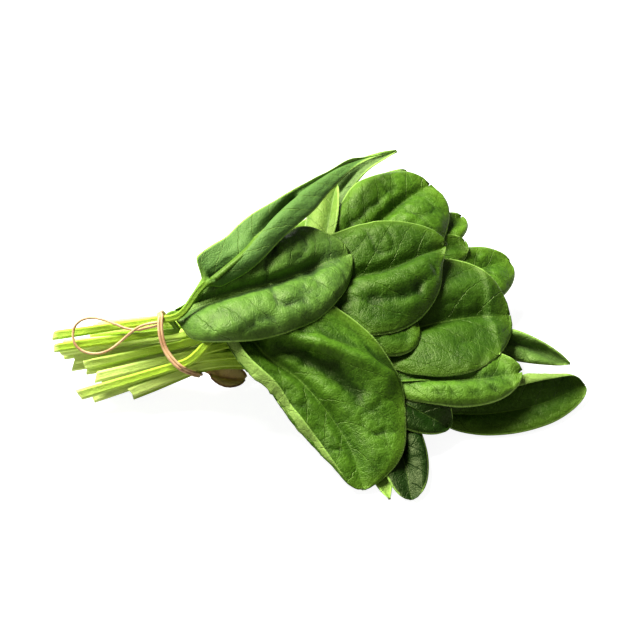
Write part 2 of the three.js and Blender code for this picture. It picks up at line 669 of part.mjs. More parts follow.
// The slack of the band leaves it, lies on the stalks and comes back: [x, v, out from the plane].
const LOOP_ROUTE = [
  [-83.1, 38.7, 35.2], [-89, 37.4, 31.6], [-94.6, 36.5, 28.6], [-100, 37.3, 26.8],
  [-105, 39.2, 24.8], [-110.8, 41.3, 22.8], [-115, 42.4, 21.4], [-118.8, 42.7, 20.4],
  [-122.5, 42, 19.6], [-125.4, 40.3, 19.2], [-127.3, 37.8, 19], [-128, 35, 19],
  [-127.8, 31.5, 19.2], [-126.4, 28.3, 19.6], [-123.6, 25.9, 19.8], [-119.8, 24.5, 20],
  [-115.4, 24.2, 20.4], [-111.2, 25.1, 21.2], [-107.5, 27, 22.4], [-104, 29.6, 24],
  [-100.5, 32.5, 26], [-96.7, 35.6, 29.6], [-93, 38, 31.4], [-89, 39.4, 33.9],
  [-83.1, 40.5, 37.1],
];

function looseLoop() {
  const section = new THREE.Shape().absarc(0, 0, LOOP_DIAMETER / 2, 0, 2 * Math.PI);
  const path = new THREE.CatmullRomCurve3(LOOP_ROUTE.map(([x, v, depth]) => lay(x, v, depth)));
  return new THREE.ExtrudeGeometry(section, {
    steps: LOOP_STEPS, curveSegments: 4, extrudePath: path, bevelEnabled: false,
  });
}

// ---- the bunch ---------------------------------------------------------------------------
const MATERIALS = Object.fromEntries(Object.entries(COLOURS).map(([name, color]) => [
  name,
  new THREE.MeshStandardMaterial({ color, roughness: name === 'band' ? 0.75 : 0.45, metalness: 0 }),
]));

const bunch = new THREE.Group();
const inBand = [];
bunch.position.set(...ORIGIN_SHIFT);

function addMesh(name, geometry, material) {
  const mesh = new THREE.Mesh(geometry, MATERIALS[material]);
  mesh.name = name;
  bunch.add(mesh);
}

for (const leaf of LEAVES) {
  const { points, halves, stiff, tieRing } = leafSheet(leaf);
  layOnPile(points, halves, stiff, leaf.slot[0] < TIE_ROWS - 1 ? tieRing : 0);
  const geometry = solidFromSheet(points, halves);
  inBand.push(...placesInBand(geometry));
  addMesh(leaf.name, geometry, leaf.material ?? 'leaf');
}
addMesh('rubber_band', rubberBand(inBand), 'band');
addMesh('band_loose_loop', looseLoop(), 'band');

export default bunch;
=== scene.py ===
"""A bunch of spinach lying on its side, held by a rubber band round its stalks.

The leaves are laid on each other one at a time, lowest first, in the same order and with the
same sizes as the solids of the frame, apart from two halves that are a little wider. Each leaf
is first settled as a coarse sheet, which is where its solid lies, and is then given its real
surface: side veins, bulges between them, a wavy margin and a midrib that runs into the stalk.
Lengths are in millimetres, and in metres only where a mesh, the camera, a lamp or the floor is
made.
"""

import math

import bpy
import numpy as np
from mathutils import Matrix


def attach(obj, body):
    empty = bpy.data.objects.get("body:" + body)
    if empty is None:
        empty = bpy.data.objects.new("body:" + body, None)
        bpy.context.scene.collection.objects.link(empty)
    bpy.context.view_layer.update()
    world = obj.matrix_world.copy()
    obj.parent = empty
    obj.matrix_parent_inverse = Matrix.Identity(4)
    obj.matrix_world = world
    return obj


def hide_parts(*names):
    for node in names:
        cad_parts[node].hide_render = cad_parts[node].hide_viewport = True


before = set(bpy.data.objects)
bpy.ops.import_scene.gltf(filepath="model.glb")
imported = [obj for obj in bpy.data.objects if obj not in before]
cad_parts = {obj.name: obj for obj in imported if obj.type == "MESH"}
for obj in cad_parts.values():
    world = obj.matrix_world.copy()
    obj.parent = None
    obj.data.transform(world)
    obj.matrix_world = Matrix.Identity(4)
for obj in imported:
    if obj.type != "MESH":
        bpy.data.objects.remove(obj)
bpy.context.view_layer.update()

# ---- where things are -----------------------------------------------------------------------
# A place on the bunch is [x, v, z]: x along it, v up a layout plane that leans back, z the
# height above the floor. OUT points straight out of that plane, the way the leaves are piled.
MM = 0.001
LEAN = math.radians(42)
RISE = np.array([0, math.sin(LEAN), math.cos(LEAN)])
OUT = np.array([0, -math.cos(LEAN), math.sin(LEAN)])
ALONG = np.array([1.0, 0, 0])
ORIGIN_SHIFT = np.array([0, -32.4, -1.6])    # from the bunch's own origin to the frame's
TINY = 1e-9


def place(points):
    """Places on the bunch, as points with x, y and z."""
    x, v, z = np.asarray(points, float).T
    return np.stack([x, v / math.sin(LEAN) - z / math.tan(LEAN), z], axis=-1)


def lay(x, v, depth):
    """The place that is depth out from the layout plane at x and v."""
    return np.multiply.outer(x, ALONG) + np.multiply.outer(v, RISE) + np.multiply.outer(depth, OUT)


def unit(vectors):
    return vectors / np.maximum(np.linalg.norm(vectors, axis=-1, keepdims=True), TINY)


def smoothstep(x, low, high):
    share = np.clip((x - low) / (high - low), 0, 1)
    return share * share * (3 - 2 * share)


# ---- camera ---------------------------------------------------------------------------------
CAMERA_AIM = (41.6, 15)      # up the layout plane, and out from it
CAMERA_AWAY = 1400
VIEW_WIDTH = 332.8           # what the camera sees at the place it aims at
SENSOR = 36
FARTHEST_SEEN = 10           # in metres


def stand(thing, across, up, back, spot):
    """Turns a camera or a lamp to its own three axes, and stands it on a spot in metres."""
    matrix = np.eye(4)
    matrix[:3, 0], matrix[:3, 1], matrix[:3, 2], matrix[:3, 3] = across, up, back, spot
    thing.matrix_world = matrix.T
    bpy.context.collection.objects.link(thing)


def add_camera():
    camera = bpy.data.objects.new("camera", bpy.data.cameras.new("camera"))
    camera.data.sensor_width = SENSOR
    camera.data.lens = SENSOR * CAMERA_AWAY / VIEW_WIDTH
    camera.data.clip_end = FARTHEST_SEEN
    spot = lay(0, CAMERA_AIM[0], CAMERA_AIM[1] + CAMERA_AWAY) + ORIGIN_SHIFT
    stand(camera, ALONG, RISE, OUT, spot * MM)
    bpy.context.scene.camera = camera


# ---- curves ---------------------------------------------------------------------------------
CURVE_SAMPLES = 201
NUDGE = 1e-4


class Route:
    """A smooth curve through points, closer to them where they are close together."""

    def __init__(self, points):
        self.points = np.asarray(points, float)
        first = 2 * self.points[0] - self.points[1]
        last = 2 * self.points[-1] - self.points[-2]
        self.padded = np.vstack([first, self.points, last])
        self.shares = np.linspace(0, 1, CURVE_SAMPLES)
        steps = np.linalg.norm(np.diff(self.at(self.shares), axis=0), axis=1)
        self.walked = np.concatenate([[0], np.cumsum(steps)])
        self.length = self.walked[-1]

    def at(self, share):
        share = np.atleast_1d(np.asarray(share, float))
        spans = len(self.points) - 1
        i = np.minimum((share * spans).astype(int), spans - 1)
        w = (share * spans - i)[:, None]
        p0, p1, p2, p3 = (self.padded[i + n] for n in range(4))
        d0, d1, d2 = (np.linalg.norm(b - a, axis=1)[:, None] ** 0.5
                      for a, b in ((p0, p1), (p1, p2), (p2, p3)))
        start = ((p1 - p0) / d0 - (p2 - p0) / (d0 + d1) + (p2 - p1) / d1) * d1
        end = ((p2 - p1) / d1 - (p3 - p1) / (d1 + d2) + (p3 - p2) / d2) * d1
        return (p1 + start * w + (3 * (p2 - p1) - 2 * start - end) * w**2
                + (2 * (p1 - p2) + start + end) * w**3)

    def by_length(self, share):
        walked = np.atleast_1d(np.asarray(share, float)) * self.length
        return self.at(np.interp(walked, self.walked, self.shares))

    def way(self, share):
        low, high = max(share - NUDGE, 0), min(share + NUDGE, 1)
        return unit(self.at(high) - self.at(low))[0]


class Bend:
    """A curve from one point to another that leaves and arrives in given directions."""

    def __init__(self, start, leaving, arriving, end):
        self.corners = np.array([start, start + leaving, end - arriving, end])
        along = self.at(np.linspace(0, 1, CURVE_SAMPLES))
        self.length = np.linalg.norm(np.diff(along, axis=0), axis=1).sum()

    def at(self, share):
        s = np.atleast_1d(np.asarray(share, float))
        weights = np.stack([(1 - s) ** 3, 3 * s * (1 - s) ** 2, 3 * s**2 * (1 - s), s**3], axis=1)
        return weights @ self.corners


# ---- the tie and the stalks -----------------------------------------------------------------
STALK_RADIUS = 2.2
STALK_STEP = 16              # between two rings of a stalk in the frame
TIE_CENTRE = (-72, 28)       # x and v
TIE_DEPTH = 15
TIE_ACROSS = (-0.26, 0.966)  # the long way of the tie, in x and v
TIE_ROWS = 6                 # layers of stalks in it
ROW_PITCH = 4.75
SAG = 0.1                    # of the stalk's length between the tie and the blade
FAN_LENGTH = 40              # how far right of the tie the stalks are still in layers,
FAN_OPENING = 0.035          # how much these draw apart for each mm,
FAN_RISE = 0.05              # and how much they rise
END_X = -125                 # about where the stalks are cut,
END_DEPTH = 3.8              # how far out the lowest layer is there,
END_FALL = 0.5               # how much less for each mm up the layout plane,
END_PITCH = 5.3              # how far apart the layers are,
END_DROOP = 1.3              # and how late the stalks bend down to there
LOOSE_POINTS = 5


def row_depth(row, pitch=ROW_PITCH):
    """How far out a layer of stalks is."""
    return TIE_DEPTH + (row - (TIE_ROWS - 1) / 2) * pitch


def tie_place(slot):
    """Where in the tie a slot is, as x, v and the depth."""
    row, along = slot
    return (TIE_CENTRE[0] + along * TIE_ACROSS[0], TIE_CENTRE[1] + along * TIE_ACROSS[1],
            row_depth(row))


def loose_end(end, slot):
    """The stalk from its cut end to the tie: straight in plan, and in its layer."""
    tie_x, tie_v, tie_depth = tie_place(slot)
    share = np.linspace(0, 1, LOOSE_POINTS)
    x = end[0] + (tie_x - end[0]) * share
    v = end[1] + (tie_v - end[1]) * share
    at_ends = END_DEPTH - END_FALL * v + slot[0] * END_PITCH
    towards_end = np.clip((TIE_CENTRE[0] - x) / (TIE_CENTRE[0] - END_X), 0, None) ** END_DROOP
    return Route(lay(x, v, tie_depth + (at_ends - tie_depth) * towards_end))


def leave_tie(points, tie, row):
    """Just right of the tie the stalks are still in layers, which open as they leave it."""
    away = np.hypot(points[:, 0] - tie[0], points @ RISE - tie @ RISE)
    depth = FAN_RISE * away + row_depth(row, ROW_PITCH + FAN_OPENING * away)
    share = 1 - smoothstep(away, 0, FAN_LENGTH)
    return points + np.multiply.outer(share * (depth - points @ OUT), OUT)


# ---- the shape of a leaf --------------------------------------------------------------------
BLADE_STATIONS = [0.035, 0.11, 0.22, 0.35, 0.49, 0.63, 0.76, 0.88, 0.955, 0.99]
BLADE_HALF = 0.35            # half the thickness of the frame's blades
TIP_HALF = 0.5               # of its midribs at the tip
RIB_THINNING = 0.2
NARROWEST = 0.3              # a half of a blade is at least this wide at its tip,
NECK = 0.8                   # and at its base by this share of the stalk's radius more
FACE_BY = 0.25               # the share of its length by which a blade has turned to its face
TIP_HOLD = 2                 # how late its section takes the shape that it has at the tip
SECTION_STEPS = 24
PILE_FACE = (0, -0.42, 0.91)
PLAIN = (0.5, 1)             # the columns of a half blade in the frame, as shares of its width
FINE = (0.35, 0.7, 1)

# Sections of half a blade: [share of its width, slope at the base, in the middle, at the tip].
FLAT = [[0, 12, 10, 6], [1, -10, -14, -10]]
ARCHED = [[0, 25, 22, 12], [0.5, 0, 0, 0], [1, -28, -30, -20]]
CUPPED = [[0, 12, 12, 10], [1, 30, 34, 24]]
RISING = [[0, 16, 14, 8], [0.5, -2, -2, -2], [1, -20, -24, -16]]
HUMPED = [[0, 25, 15, -8], [0.5, 0, -10, -15], [1, -28, -34, -25]]
CURLED_UP = [[0, 8, 8, 8], [0.6, 15, 20, 15], [0.78, 60, 160, 110], [1, 60, 175, 120]]
CURLED_OVER = [[0, 15, 12, 6], [0.56, 25, 10, 4], [0.68, 150, 30, 4], [0.8, 174, 165, 100],
               [1, 176, 175, 150]]
STEPPED = [[0, -62, -62, -30], [0.14, -62, -62, -30], [0.3, 5, 5, 0], [1, 18, 10, 0]]
HANGING = [[0, 30, 30, 20], [0.2, -10, -10, 0], [0.5, -50, -50, -35], [1, -62, -60, -40]]


def half(width, shape=FLAT, columns=PLAIN, **outline):
    """Half a blade. Its outline can differ from the whole leaf's at the base, widest and tip."""
    return {"width": width, "section": shape, "columns": columns, **outline}


def whole(name, end, slot, rib, left, right, widest=0.5, blunt=(1.9, 2), **more):
    """A leaf, in the words that the list below explains."""
    return {"name": name, "end": end, "slot": slot, "rib": rib, "left": left, "right": right,
            "widest": widest, "blunt": blunt, **more}


# Lowest first. end is the stalk's cut end as [x, v], and slot is its layer in the tie and how
# far along the tie's long way it lies. rib runs from the base of the blade to its tip, widest is
# the share of that way at which the blade is widest, and blunt says how blunt its base and its
# tip are. face is the way that the blade faces. A stiff leaf keeps its section where it lies on
# others.
LEAVES = [
  whole("leaf_withered", end=[-92, 6], slot=[0, -13], radius=1.7, material="withered",
        rib=[[-58, 15, 5], [-50, 11, 4], [-40, 10, 3]],
        blunt=[2, 2], left=half(5), right=half(5)),
  whole("leaf_floor_front", end=[-110, 8], slot=[0, -8],
        rib=[[-30, 24, 9], [0, 10, 6], [24, -6, 4], [38, -18, 3]],
        blunt=[1.7, 1.9], left=half(24), right=half(16), face=[0, 0, 1]),
  whole("leaf_floor_right", end=[-116, 14], slot=[0, -3],
        rib=[[-14, 26, 9], [20, 16, 6], [56, 4, 4], [84, -2, 3]],
        widest=0.55, blunt=[1.8, 2], left=half(25), right=half(20), face=[0, 0, 1]),
  whole("leaf_floor_middle", end=[-118, 20], slot=[0, 2],
        rib=[[-16, 38, 9], [22, 36, 6], [60, 32, 4], [92, 27, 3]],
        left=half(23), right=half(26), face=[0, 0, 1]),
  whole("leaf_floor_back", end=[-112, 26], slot=[0, 7],
        rib=[[-20, 51, 10], [14, 60, 6], [48, 64, 4], [76, 60, 3]],
        left=half(25), right=half(24), face=[0, 0, 1]),
  whole("leaf_floor_far_back", end=[-104, 33], slot=[0, 12],
        rib=[[-36, 62, 12], [-14, 76, 8], [12, 86, 5], [36, 88, 3]],
        left=half(20), right=half(22), face=[0, 0.1, 1]),
  whole("leaf_tip_front_pale", end=[-98, 3], slot=[1, -14], material="pale",
        rib=[[-10, 8, 12], [19, -11, 9], [31, -32, 6], [35, -48.5, 2]],
        blunt=[1.7, 1.3], left=half(7), right=half(12)),
  whole("leaf_front_dark", end=[-114, 9], slot=[1, -9],
        rib=[[6, 8, 14], [32, -8, 12], [42, -28, 8], [46, -49, 2]],
        widest=0.6, blunt=[1.8, 2.2], left=half(13), right=half(12)),
  whole("leaf_far_right_cupped", end=[-122, 16], slot=[1, -4],
        rib=[[58, -6, 10], [86, -7, 8], [115, -2, 8], [139, 7, 7]],
        stiff=True, left=half(27, CURLED_UP, [0.35, 0.62, 0.7, 0.78, 1]), right=half(13)),
  whole("leaf_far_right_slim", end=[-126, 22], slot=[1, 1],
        rib=[[72, 32, 18], [98, 30, 17], [117, 24, 14], [132, 18.5, 10]],
        widest=0.45, blunt=[1.9, 1.3], left=half(8, CUPPED), right=half(9)),
  whole("leaf_back_slope_right", end=[-118, 28], slot=[1, 6.5],
        rib=[[6, 66, 26], [32, 74, 25], [58, 72, 19], [78, 62, 11]],
        blunt=[1.8, 2], left=half(22, ARCHED), right=half(22, ARCHED), face=[0, 0.35, 0.93]),
  whole("leaf_back_slope_left", end=[-108, 34], slot=[1, 12],
        rib=[[-26, 66, 26], [-6, 80, 27], [20, 90, 23], [42, 88, 14]],
        blunt=[1.8, 2], left=half(22, ARCHED), right=half(20, ARCHED), face=[0, 0.4, 0.9]),
  whole("leaf_low_right_dark", end=[-118, 1], slot=[2, -11],
        rib=[[18, 14, 17], [39, 2, 14], [54, -7, 11], [66, -14, 8]],
        widest=0.55, blunt=[1.8, 2], left=half(16), right=half(13)),
  whole("leaf_inner_middle", end=[-134, 24], slot=[2, 4.2],
        rib=[[-6, 44, 26], [24, 50, 26], [56, 54, 22], [82, 52, 17]],
        blunt=[1.8, 2], left=half(24), right=half(24)),
  whole("leaf_right_top", end=[-129, 18], slot=[2, -1],
        rib=[[45, 49, 28], [68, 61, 29], [88, 69.5, 27], [103, 74, 24]],
        blunt=[2, 2.2], left=half(16), right=half(22)),
  whole("leaf_inner_back", end=[-120, 32], slot=[2, 10],
        rib=[[-20, 60, 30], [4, 76, 33], [26, 88, 33], [44, 94, 30]],
        blunt=[1.8, 2], left=half(29), right=half(22), face=[0, -0.1, 1]),
  whole("leaf_top_behind", end=[-116, 38], slot=[2, 15],
        rib=[[6, 84, 40], [22, 101, 43], [37, 116, 44], [48, 124, 43]],
        blunt=[1.9, 2.2], left=half(8), right=half(20)),
  whole("leaf_right_light", end=[-128, 22], slot=[3, 2],
        rib=[[34, 72, 38], [55, 84, 40], [68, 91, 39], [76.5, 97, 37]],
        blunt=[1.9, 2.2], left=half(10), right=half(12)),
  whole("leaf_right_shaded", end=[-121, 16], slot=[3, -3],
        rib=[[34, 61, 34], [52, 72, 36], [68, 80, 35], [78, 84, 32]],
        blunt=[1.9, 2.2], left=half(11), right=half(14)),
  whole("leaf_top_narrow", end=[-119, 36], slot=[3, 12],
        rib=[[-4, 78, 42], [8, 106, 48], [23, 124.5, 54], [42, 134, 57]],
        blunt=[1.8, 1.2], left=half(6.5), right=half(4.5)),
  whole("leaf_top_round", end=[-134, 28], slot=[3, 7],
        rib=[[10, 68, 42], [25, 87, 48], [42, 103, 51], [59, 114.5, 52]],
        widest=0.55, blunt=[2, 2.3], left=half(25, ARCHED, FINE), right=half(33, ARCHED, FINE, tip=3)),
  whole("leaf_right_blistered", end=[-98, 4], slot=[3, -13],
        rib=[[34, 10, 20], [58, 11, 18], [82, 11, 14], [103, 14, 9]],
        blunt=[1.9, 2.1], left=half(19), right=half(15)),
  whole("leaf_right_large", end=[-113, 10], slot=[3, -8],
        rib=[[26, 30, 29], [50, 38, 31], [76, 43, 29], [100, 44, 24]],
        blunt=[2, 2.1], left=half(38, FLAT, FINE), right=half(32, FLAT, FINE)),
  whole("leaf_middle_small", end=[-116, 12], slot=[4, -5],
        rib=[[14, 40, 32], [28, 40, 34], [40, 41, 34], [50, 42, 32]],
        widest=0.6, blunt=[2, 2.2], left=half(12), right=half(20)),
  whole("leaf_top_pale_edge", end=[-136, 26], slot=[4, 6], material="pale",
        rib=[[-1, 70, 44], [3, 84, 48], [6, 100, 52], [9, 114, 55]],
        blunt=[1.8, 1.6], left=half(12), right=half(4)),
  whole("leaf_middle_broad", end=[-122, 18], slot=[4, 1],
        rib=[[-20, 50, 38], [6, 61, 45], [36, 68, 48], [66, 80, 50]],
        widest=0.55, blunt=[2, 2.2],
        left=half(29, ARCHED, FINE, base=3.5), right=half(35, ARCHED, FINE, tip=0.85)),
  whole("leaf_front_large", end=[-124, 3], slot=[5, -9],
        rib=[[-41, 42, 41], [-30, 26, 36], [-10, 10.5, 26.5], [7, -10, 17], [17, -27, 10.5],
             [22, -44, 3]],
        widest=0.48, blunt=[2.1, 1.5], stiff=True,
        left=half(45, RISING, FINE, tip=1.5),
        right=half(31, CURLED_OVER, [0.3, 0.56, 0.68, 0.8, 1], base=4, tip=2.2)),
  whole("leaf_front_blunt", end=[-138, 27], slot=[5, 8.5], radius=1.9,
        rib=[[-77, 44, 54], [-50, 54, 56], [-22, 62, 57], [1, 71, 56], [15, 76, 52]],
        blunt=[2.4, 2.3], face=[0, -0.65, 0.75],
        left=half(27, HUMPED, FINE, base=0.5, tip=3), right=half(28, ARCHED, FINE, tip=1.5)),
  whole("leaf_top_folded", end=[-139, 33.5], slot=[5, 15], radius=1.8,
        rib=[[-60, 59, 55], [-39, 78, 70], [-25, 95, 79], [-8, 110.5, 80], [14, 125, 76],
             [34, 131, 68]],
        widest=0.42, blunt=[2.2, 1.4], stiff=True, face=[0, 0, 1],
        left=half(17, STEPPED, [0.14, 0.3, 0.6, 1], base=4, tip=0.22, widest=0.2),
        right=half(12.5, HANGING, [0.2, 0.4, 0.6, 0.8, 1], tip=0.6)),
]


def outline(t, widest, base, tip):
    """Half-width at the share t of the length, for a blade whose half-width is 1."""
    tau = t ** (math.log(0.5) / math.log(widest))
    return np.clip(1 - (2 * tau - 1) ** 2, 0, None) ** (1 / np.where(tau < 0.5, base, tip))


def section(knots, q, t):
    """Where the shares q of a half blade lie at the stations t, for a half-width of 1."""
    knots = np.array(knots, float)
    later = (np.clip(2 * t - 1, 0, 1) ** TIP_HOLD)[:, None]
    early = np.clip(2 * t, 0, 1)[:, None]
    base, middle, tip = knots[:, 1], knots[:, 2], knots[:, 3]
    slopes = np.where(t[:, None] < 0.5, base + (middle - base) * early,
                      middle + (tip - middle) * later)
    inner = np.multiply.outer(q, (np.arange(SECTION_STEPS) + 0.5) / SECTION_STEPS)
    across = np.empty((len(t), len(q)))
    up = np.empty((len(t), len(q)))
    for k, row in enumerate(slopes):
        slope = np.radians(np.interp(inner, knots[:, 0], row))
        across[k] = np.cos(slope).mean(axis=1) * q
        up[k] = np.sin(slope).mean(axis=1) * q
    return across, up


class Leaf:
    """The line and the width of one leaf. A walk counts its rings from the cut end on."""

    def __init__(self, spec):
        self.spec = spec
        self.radius = spec.get("radius", STALK_RADIUS)
        self.row = spec["slot"][0]
        self.rib = Route(place(spec["rib"]))
        self.lower = loose_end(spec["end"], spec["slot"])
        self.tie = self.lower.at(1)[0]
        base = self.rib.at(0)[0]
        reach = np.linalg.norm(base - self.tie) / 3
        self.upper = Bend(self.tie, self.lower.way(1) * reach, self.rib.way(0) * reach, base)
        self.tie_ring = math.ceil(self.lower.length / STALK_STEP)
        self.base_ring = self.tie_ring + math.ceil(self.upper.length / STALK_STEP)
        self.rings = self.base_ring + 1 + len(BLADE_STATIONS)
        self.ways = self._ways()

    def line(self, walk):
        """The points of the leaf's own line, and the share of the blade that each has reached."""
        walk = np.asarray(walk, float)
        stops = np.concatenate([[0], BLADE_STATIONS, [1]])
        t = np.interp(walk - self.base_ring, np.arange(len(stops)), stops)
        points = np.empty((len(walk), 3))
        low, high = walk <= self.tie_ring, walk > self.base_ring
        middle = ~low & ~high
        points[low] = self.lower.at(walk[low] / self.tie_ring)
        share = (walk[middle] - self.tie_ring) / (self.base_ring - self.tie_ring)
        sag = SAG * self.upper.length * 4 * share * (1 - share)
        points[middle] = self.upper.at(share) - np.multiply.outer(sag, OUT)
        points[high] = self.rib.by_length(t[high])
        points[~low] = leave_tie(points[~low], self.tie, self.row)
        return points, t

    def _ways(self):
        """The way that the leaf's own line runs at each ring."""
        points, _ = self.line(np.arange(self.rings))
        ahead = np.vstack([points[1:], points[-1:]])
        behind = np.vstack([points[:1], points[:-1]])
        return unit(ahead - behind)

    def axes(self, walk, t):
        """Directions across and up from the leaf at each place on its line."""
        rings = np.arange(self.rings)
        way = unit(np.stack([np.interp(walk, rings, self.ways[:, n]) for n in range(3)], axis=1))
        face = unit(np.array(self.spec.get("face", PILE_FACE), float))
        share = smoothstep(t, 0, FACE_BY)[:, None]
        facing = OUT * (1 - share) + face * share
        side = unit(np.cross(facing, way))
        return side, np.cross(way, side)

    def half_width(self, t, left):
        """How wide one half of the leaf is at the shares t of its blade."""
        spec = self.spec
        half = spec["left"] if left else spec["right"]
        base, tip = half.get("base", spec["blunt"][0]), half.get("tip", spec["blunt"][1])
        swell = outline(t, half.get("widest", spec["widest"]), base, tip)
        return np.maximum(half["width"] * swell, self.radius * NECK * (1 - t) + NARROWEST)

    def coarse(self):
        """The sheet that the frame's solid is made from: points and half thicknesses."""
        points, t = self.line(np.arange(self.rings))
        side, up = self.axes(np.arange(self.rings), t)
        shares = [(False, q) for q in reversed(self.spec["right"].get("columns", PLAIN))]
        shares += [(True, 0)]
        shares += [(True, q) for q in self.spec["left"].get("columns", PLAIN)]
        count = len(shares)
        sheet = np.empty((self.rings, count, 3))
        halves = np.empty((self.rings, count))
        stalk = np.arange(self.rings) <= self.base_ring
        for j, (left, q) in enumerate(shares):
            angle = math.pi * (j + 0.5) / count
            across, rise = section(self.spec["left" if left else "right"]["section"],
                                   np.array([float(q)]), t)
            width = self.half_width(t, left) * (1 if left else -1)
            out = np.where(stalk, -self.radius * math.cos(angle), width * across[:, 0])
            lift = np.where(stalk, 0, np.abs(width) * rise[:, 0])
            sheet[:, j] = points + side * out[:, None] + up * lift[:, None]
            rib_half = self.radius + (TIP_HALF - self.radius) * t**RIB_THINNING
            halves[:, j] = np.where(stalk, self.radius * math.sin(angle),
                                    rib_half if q == 0 else BLADE_HALF)
        stiff = stalk | self.spec.get("stiff", False)
        shares = [q if left else -q for left, q in shares]
        return sheet, halves, stiff, np.array(shares, float)


# ---- laying a sheet on the pile -------------------------------------------------------------
MAP_X = (-150, 160)          # what the map of the pile covers
MAP_V = (-70, 150)
CLEARANCE = 0.5              # between two leaves of the frame
BLOCKS = 5                   # along each side of a quad, each of which has to clear the pile
SETTLE_PASSES = 40
EXACT_PASSES = 3             # the last ones, which smooth nothing and leave no block short
SMOOTHING = 0.3
SETTLE_DROP = 0.05
STEEPEST = 0.35              # a leaf seen on edge counts as no thicker than this makes it


def grid_normals(sheet):
    """Which way a grid of points faces at each of them."""
    ahead = np.concatenate([sheet[1:], sheet[-1:]])
    behind = np.concatenate([sheet[:1], sheet[:-1]])
    left = np.concatenate([sheet[:, 1:], sheet[:, -1:]], axis=1)
    right = np.concatenate([sheet[:, :1], sheet[:, :-1]], axis=1)
    return unit(np.cross(ahead - behind, left - right))


def flatten(sheet, halves):
    """A sheet as [x, v, depth, half thickness seen from straight out]."""
    facing = np.maximum(np.abs(grid_normals(sheet) @ OUT), STEEPEST)
    return np.stack([sheet[..., 0], sheet @ RISE, sheet @ OUT, halves / facing], axis=-1)


class Pile:
    """How far out the leaves laid so far reach, for each cell of the layout plane."""

    def __init__(self, cell):
        self.cell = cell
        self.columns = math.ceil((MAP_X[1] - MAP_X[0]) / cell)
        self.rows = math.ceil((MAP_V[1] - MAP_V[0]) / cell)
        floor = -(MAP_V[0] + np.arange(self.rows) * cell) / math.tan(LEAN)
        self.top = np.repeat(floor, self.columns)

    def cells(self, x, v):
        """The numbers of the cells that places lie in."""
        column = np.clip(np.floor((x - MAP_X[0]) / self.cell).astype(int), 0, self.columns - 1)
        row = np.clip(np.floor((v - MAP_V[0]) / self.cell).astype(int), 0, self.rows - 1)
        return row * self.columns + column

    def spread(self, corners):
        """Points spread over a quad: their cells, depths, half thicknesses and shares."""
        sides = np.linalg.norm((corners - np.roll(corners, -1, axis=0))[:, :2], axis=1)
        steps = math.ceil(sides.max() / self.cell) + 1
        p, q = (a.ravel() for a in np.mgrid[0:steps + 1, 0:steps + 1] / steps)
        a, b, c, d = corners
        at = (np.outer((1 - p) * (1 - q), a) + np.outer(p * (1 - q), b)
              + np.outer(p * q, c) + np.outer((1 - p) * q, d))
        return self.cells(at[:, 0], at[:, 1]), at[:, 2], at[:, 3], p, q

    def needs(self, corners):
        """How far each block of a quad has to move out to clear the pile."""
        cell, depth, half, p, q = self.spread(corners)
        block = (np.minimum((p * BLOCKS).astype(int), BLOCKS - 1) * BLOCKS
                 + np.minimum((q * BLOCKS).astype(int), BLOCKS - 1))
        needs = np.full(BLOCKS * BLOCKS, -np.inf)
        np.maximum.at(needs, block, self.top[cell] + CLEARANCE + half - depth)
        return needs

    def add(self, corners):
        cell, depth, half, _, _ = self.spread(corners)
        np.maximum.at(self.top, cell, depth + half)


def block_weights():
    """How much each corner of a quad counts for the middle of each of its blocks."""
    middles = (np.arange(BLOCKS) + 0.5) / BLOCKS
    p, q = (a.ravel() for a in np.meshgrid(middles, middles, indexing="ij"))
    return np.stack([(1 - p) * (1 - q), p * (1 - q), p * q, (1 - p) * q], axis=1)


def settle(pile, sheet, halves, stiff, held):
    """How far each point of a sheet moves out to lie on the pile. The sheet joins the pile."""
    flat = flatten(sheet, halves)
    rows, columns = halves.shape
    weights = block_weights()
    squares = (weights**2).sum(axis=1)
    quads = []
    for k in range(rows - 1):
        for j in range(columns - 1):
            at = (np.array([k, k + 1, k + 1, k]), np.array([j, j, j + 1, j + 1]))
            needs = pile.needs(flat[at])
            if k <= held:
                needs[:BLOCKS * math.ceil(BLOCKS / 2)] = -np.inf
            quads.append((at, needs))
    lift = np.zeros((rows, columns))
    for turn in range(SETTLE_PASSES):
        last = turn >= SETTLE_PASSES - EXACT_PASSES
        if not last:
            lift = smooth_lift(lift)
        for at, needs in quads:
            lack = needs - weights @ lift[at]
            block = lack.argmax()
            if lack[block] > 0:
                lift[at] += lack[block] if last else lack[block] * weights[block] / squares[block]
        lift[:held + 1] = 0
        lift[stiff] = lift[stiff].max(axis=1, keepdims=True)
        lift[:held + 1] = 0
    flat[..., 2] += lift
    for at, _ in quads:
        pile.add(flat[at])
    return lift


def smooth_lift(lift):
    """Evens out the lifts a little, and lets the sheet sink a little."""
    wide = np.pad(lift, 1, mode="edge")
    around = (wide[:-2, 1:-1] + wide[2:, 1:-1] + wide[1:-1, :-2] + wide[1:-1, 2:]) / 4
    return np.maximum(0, lift + SMOOTHING * (around - lift) - SETTLE_DROP)


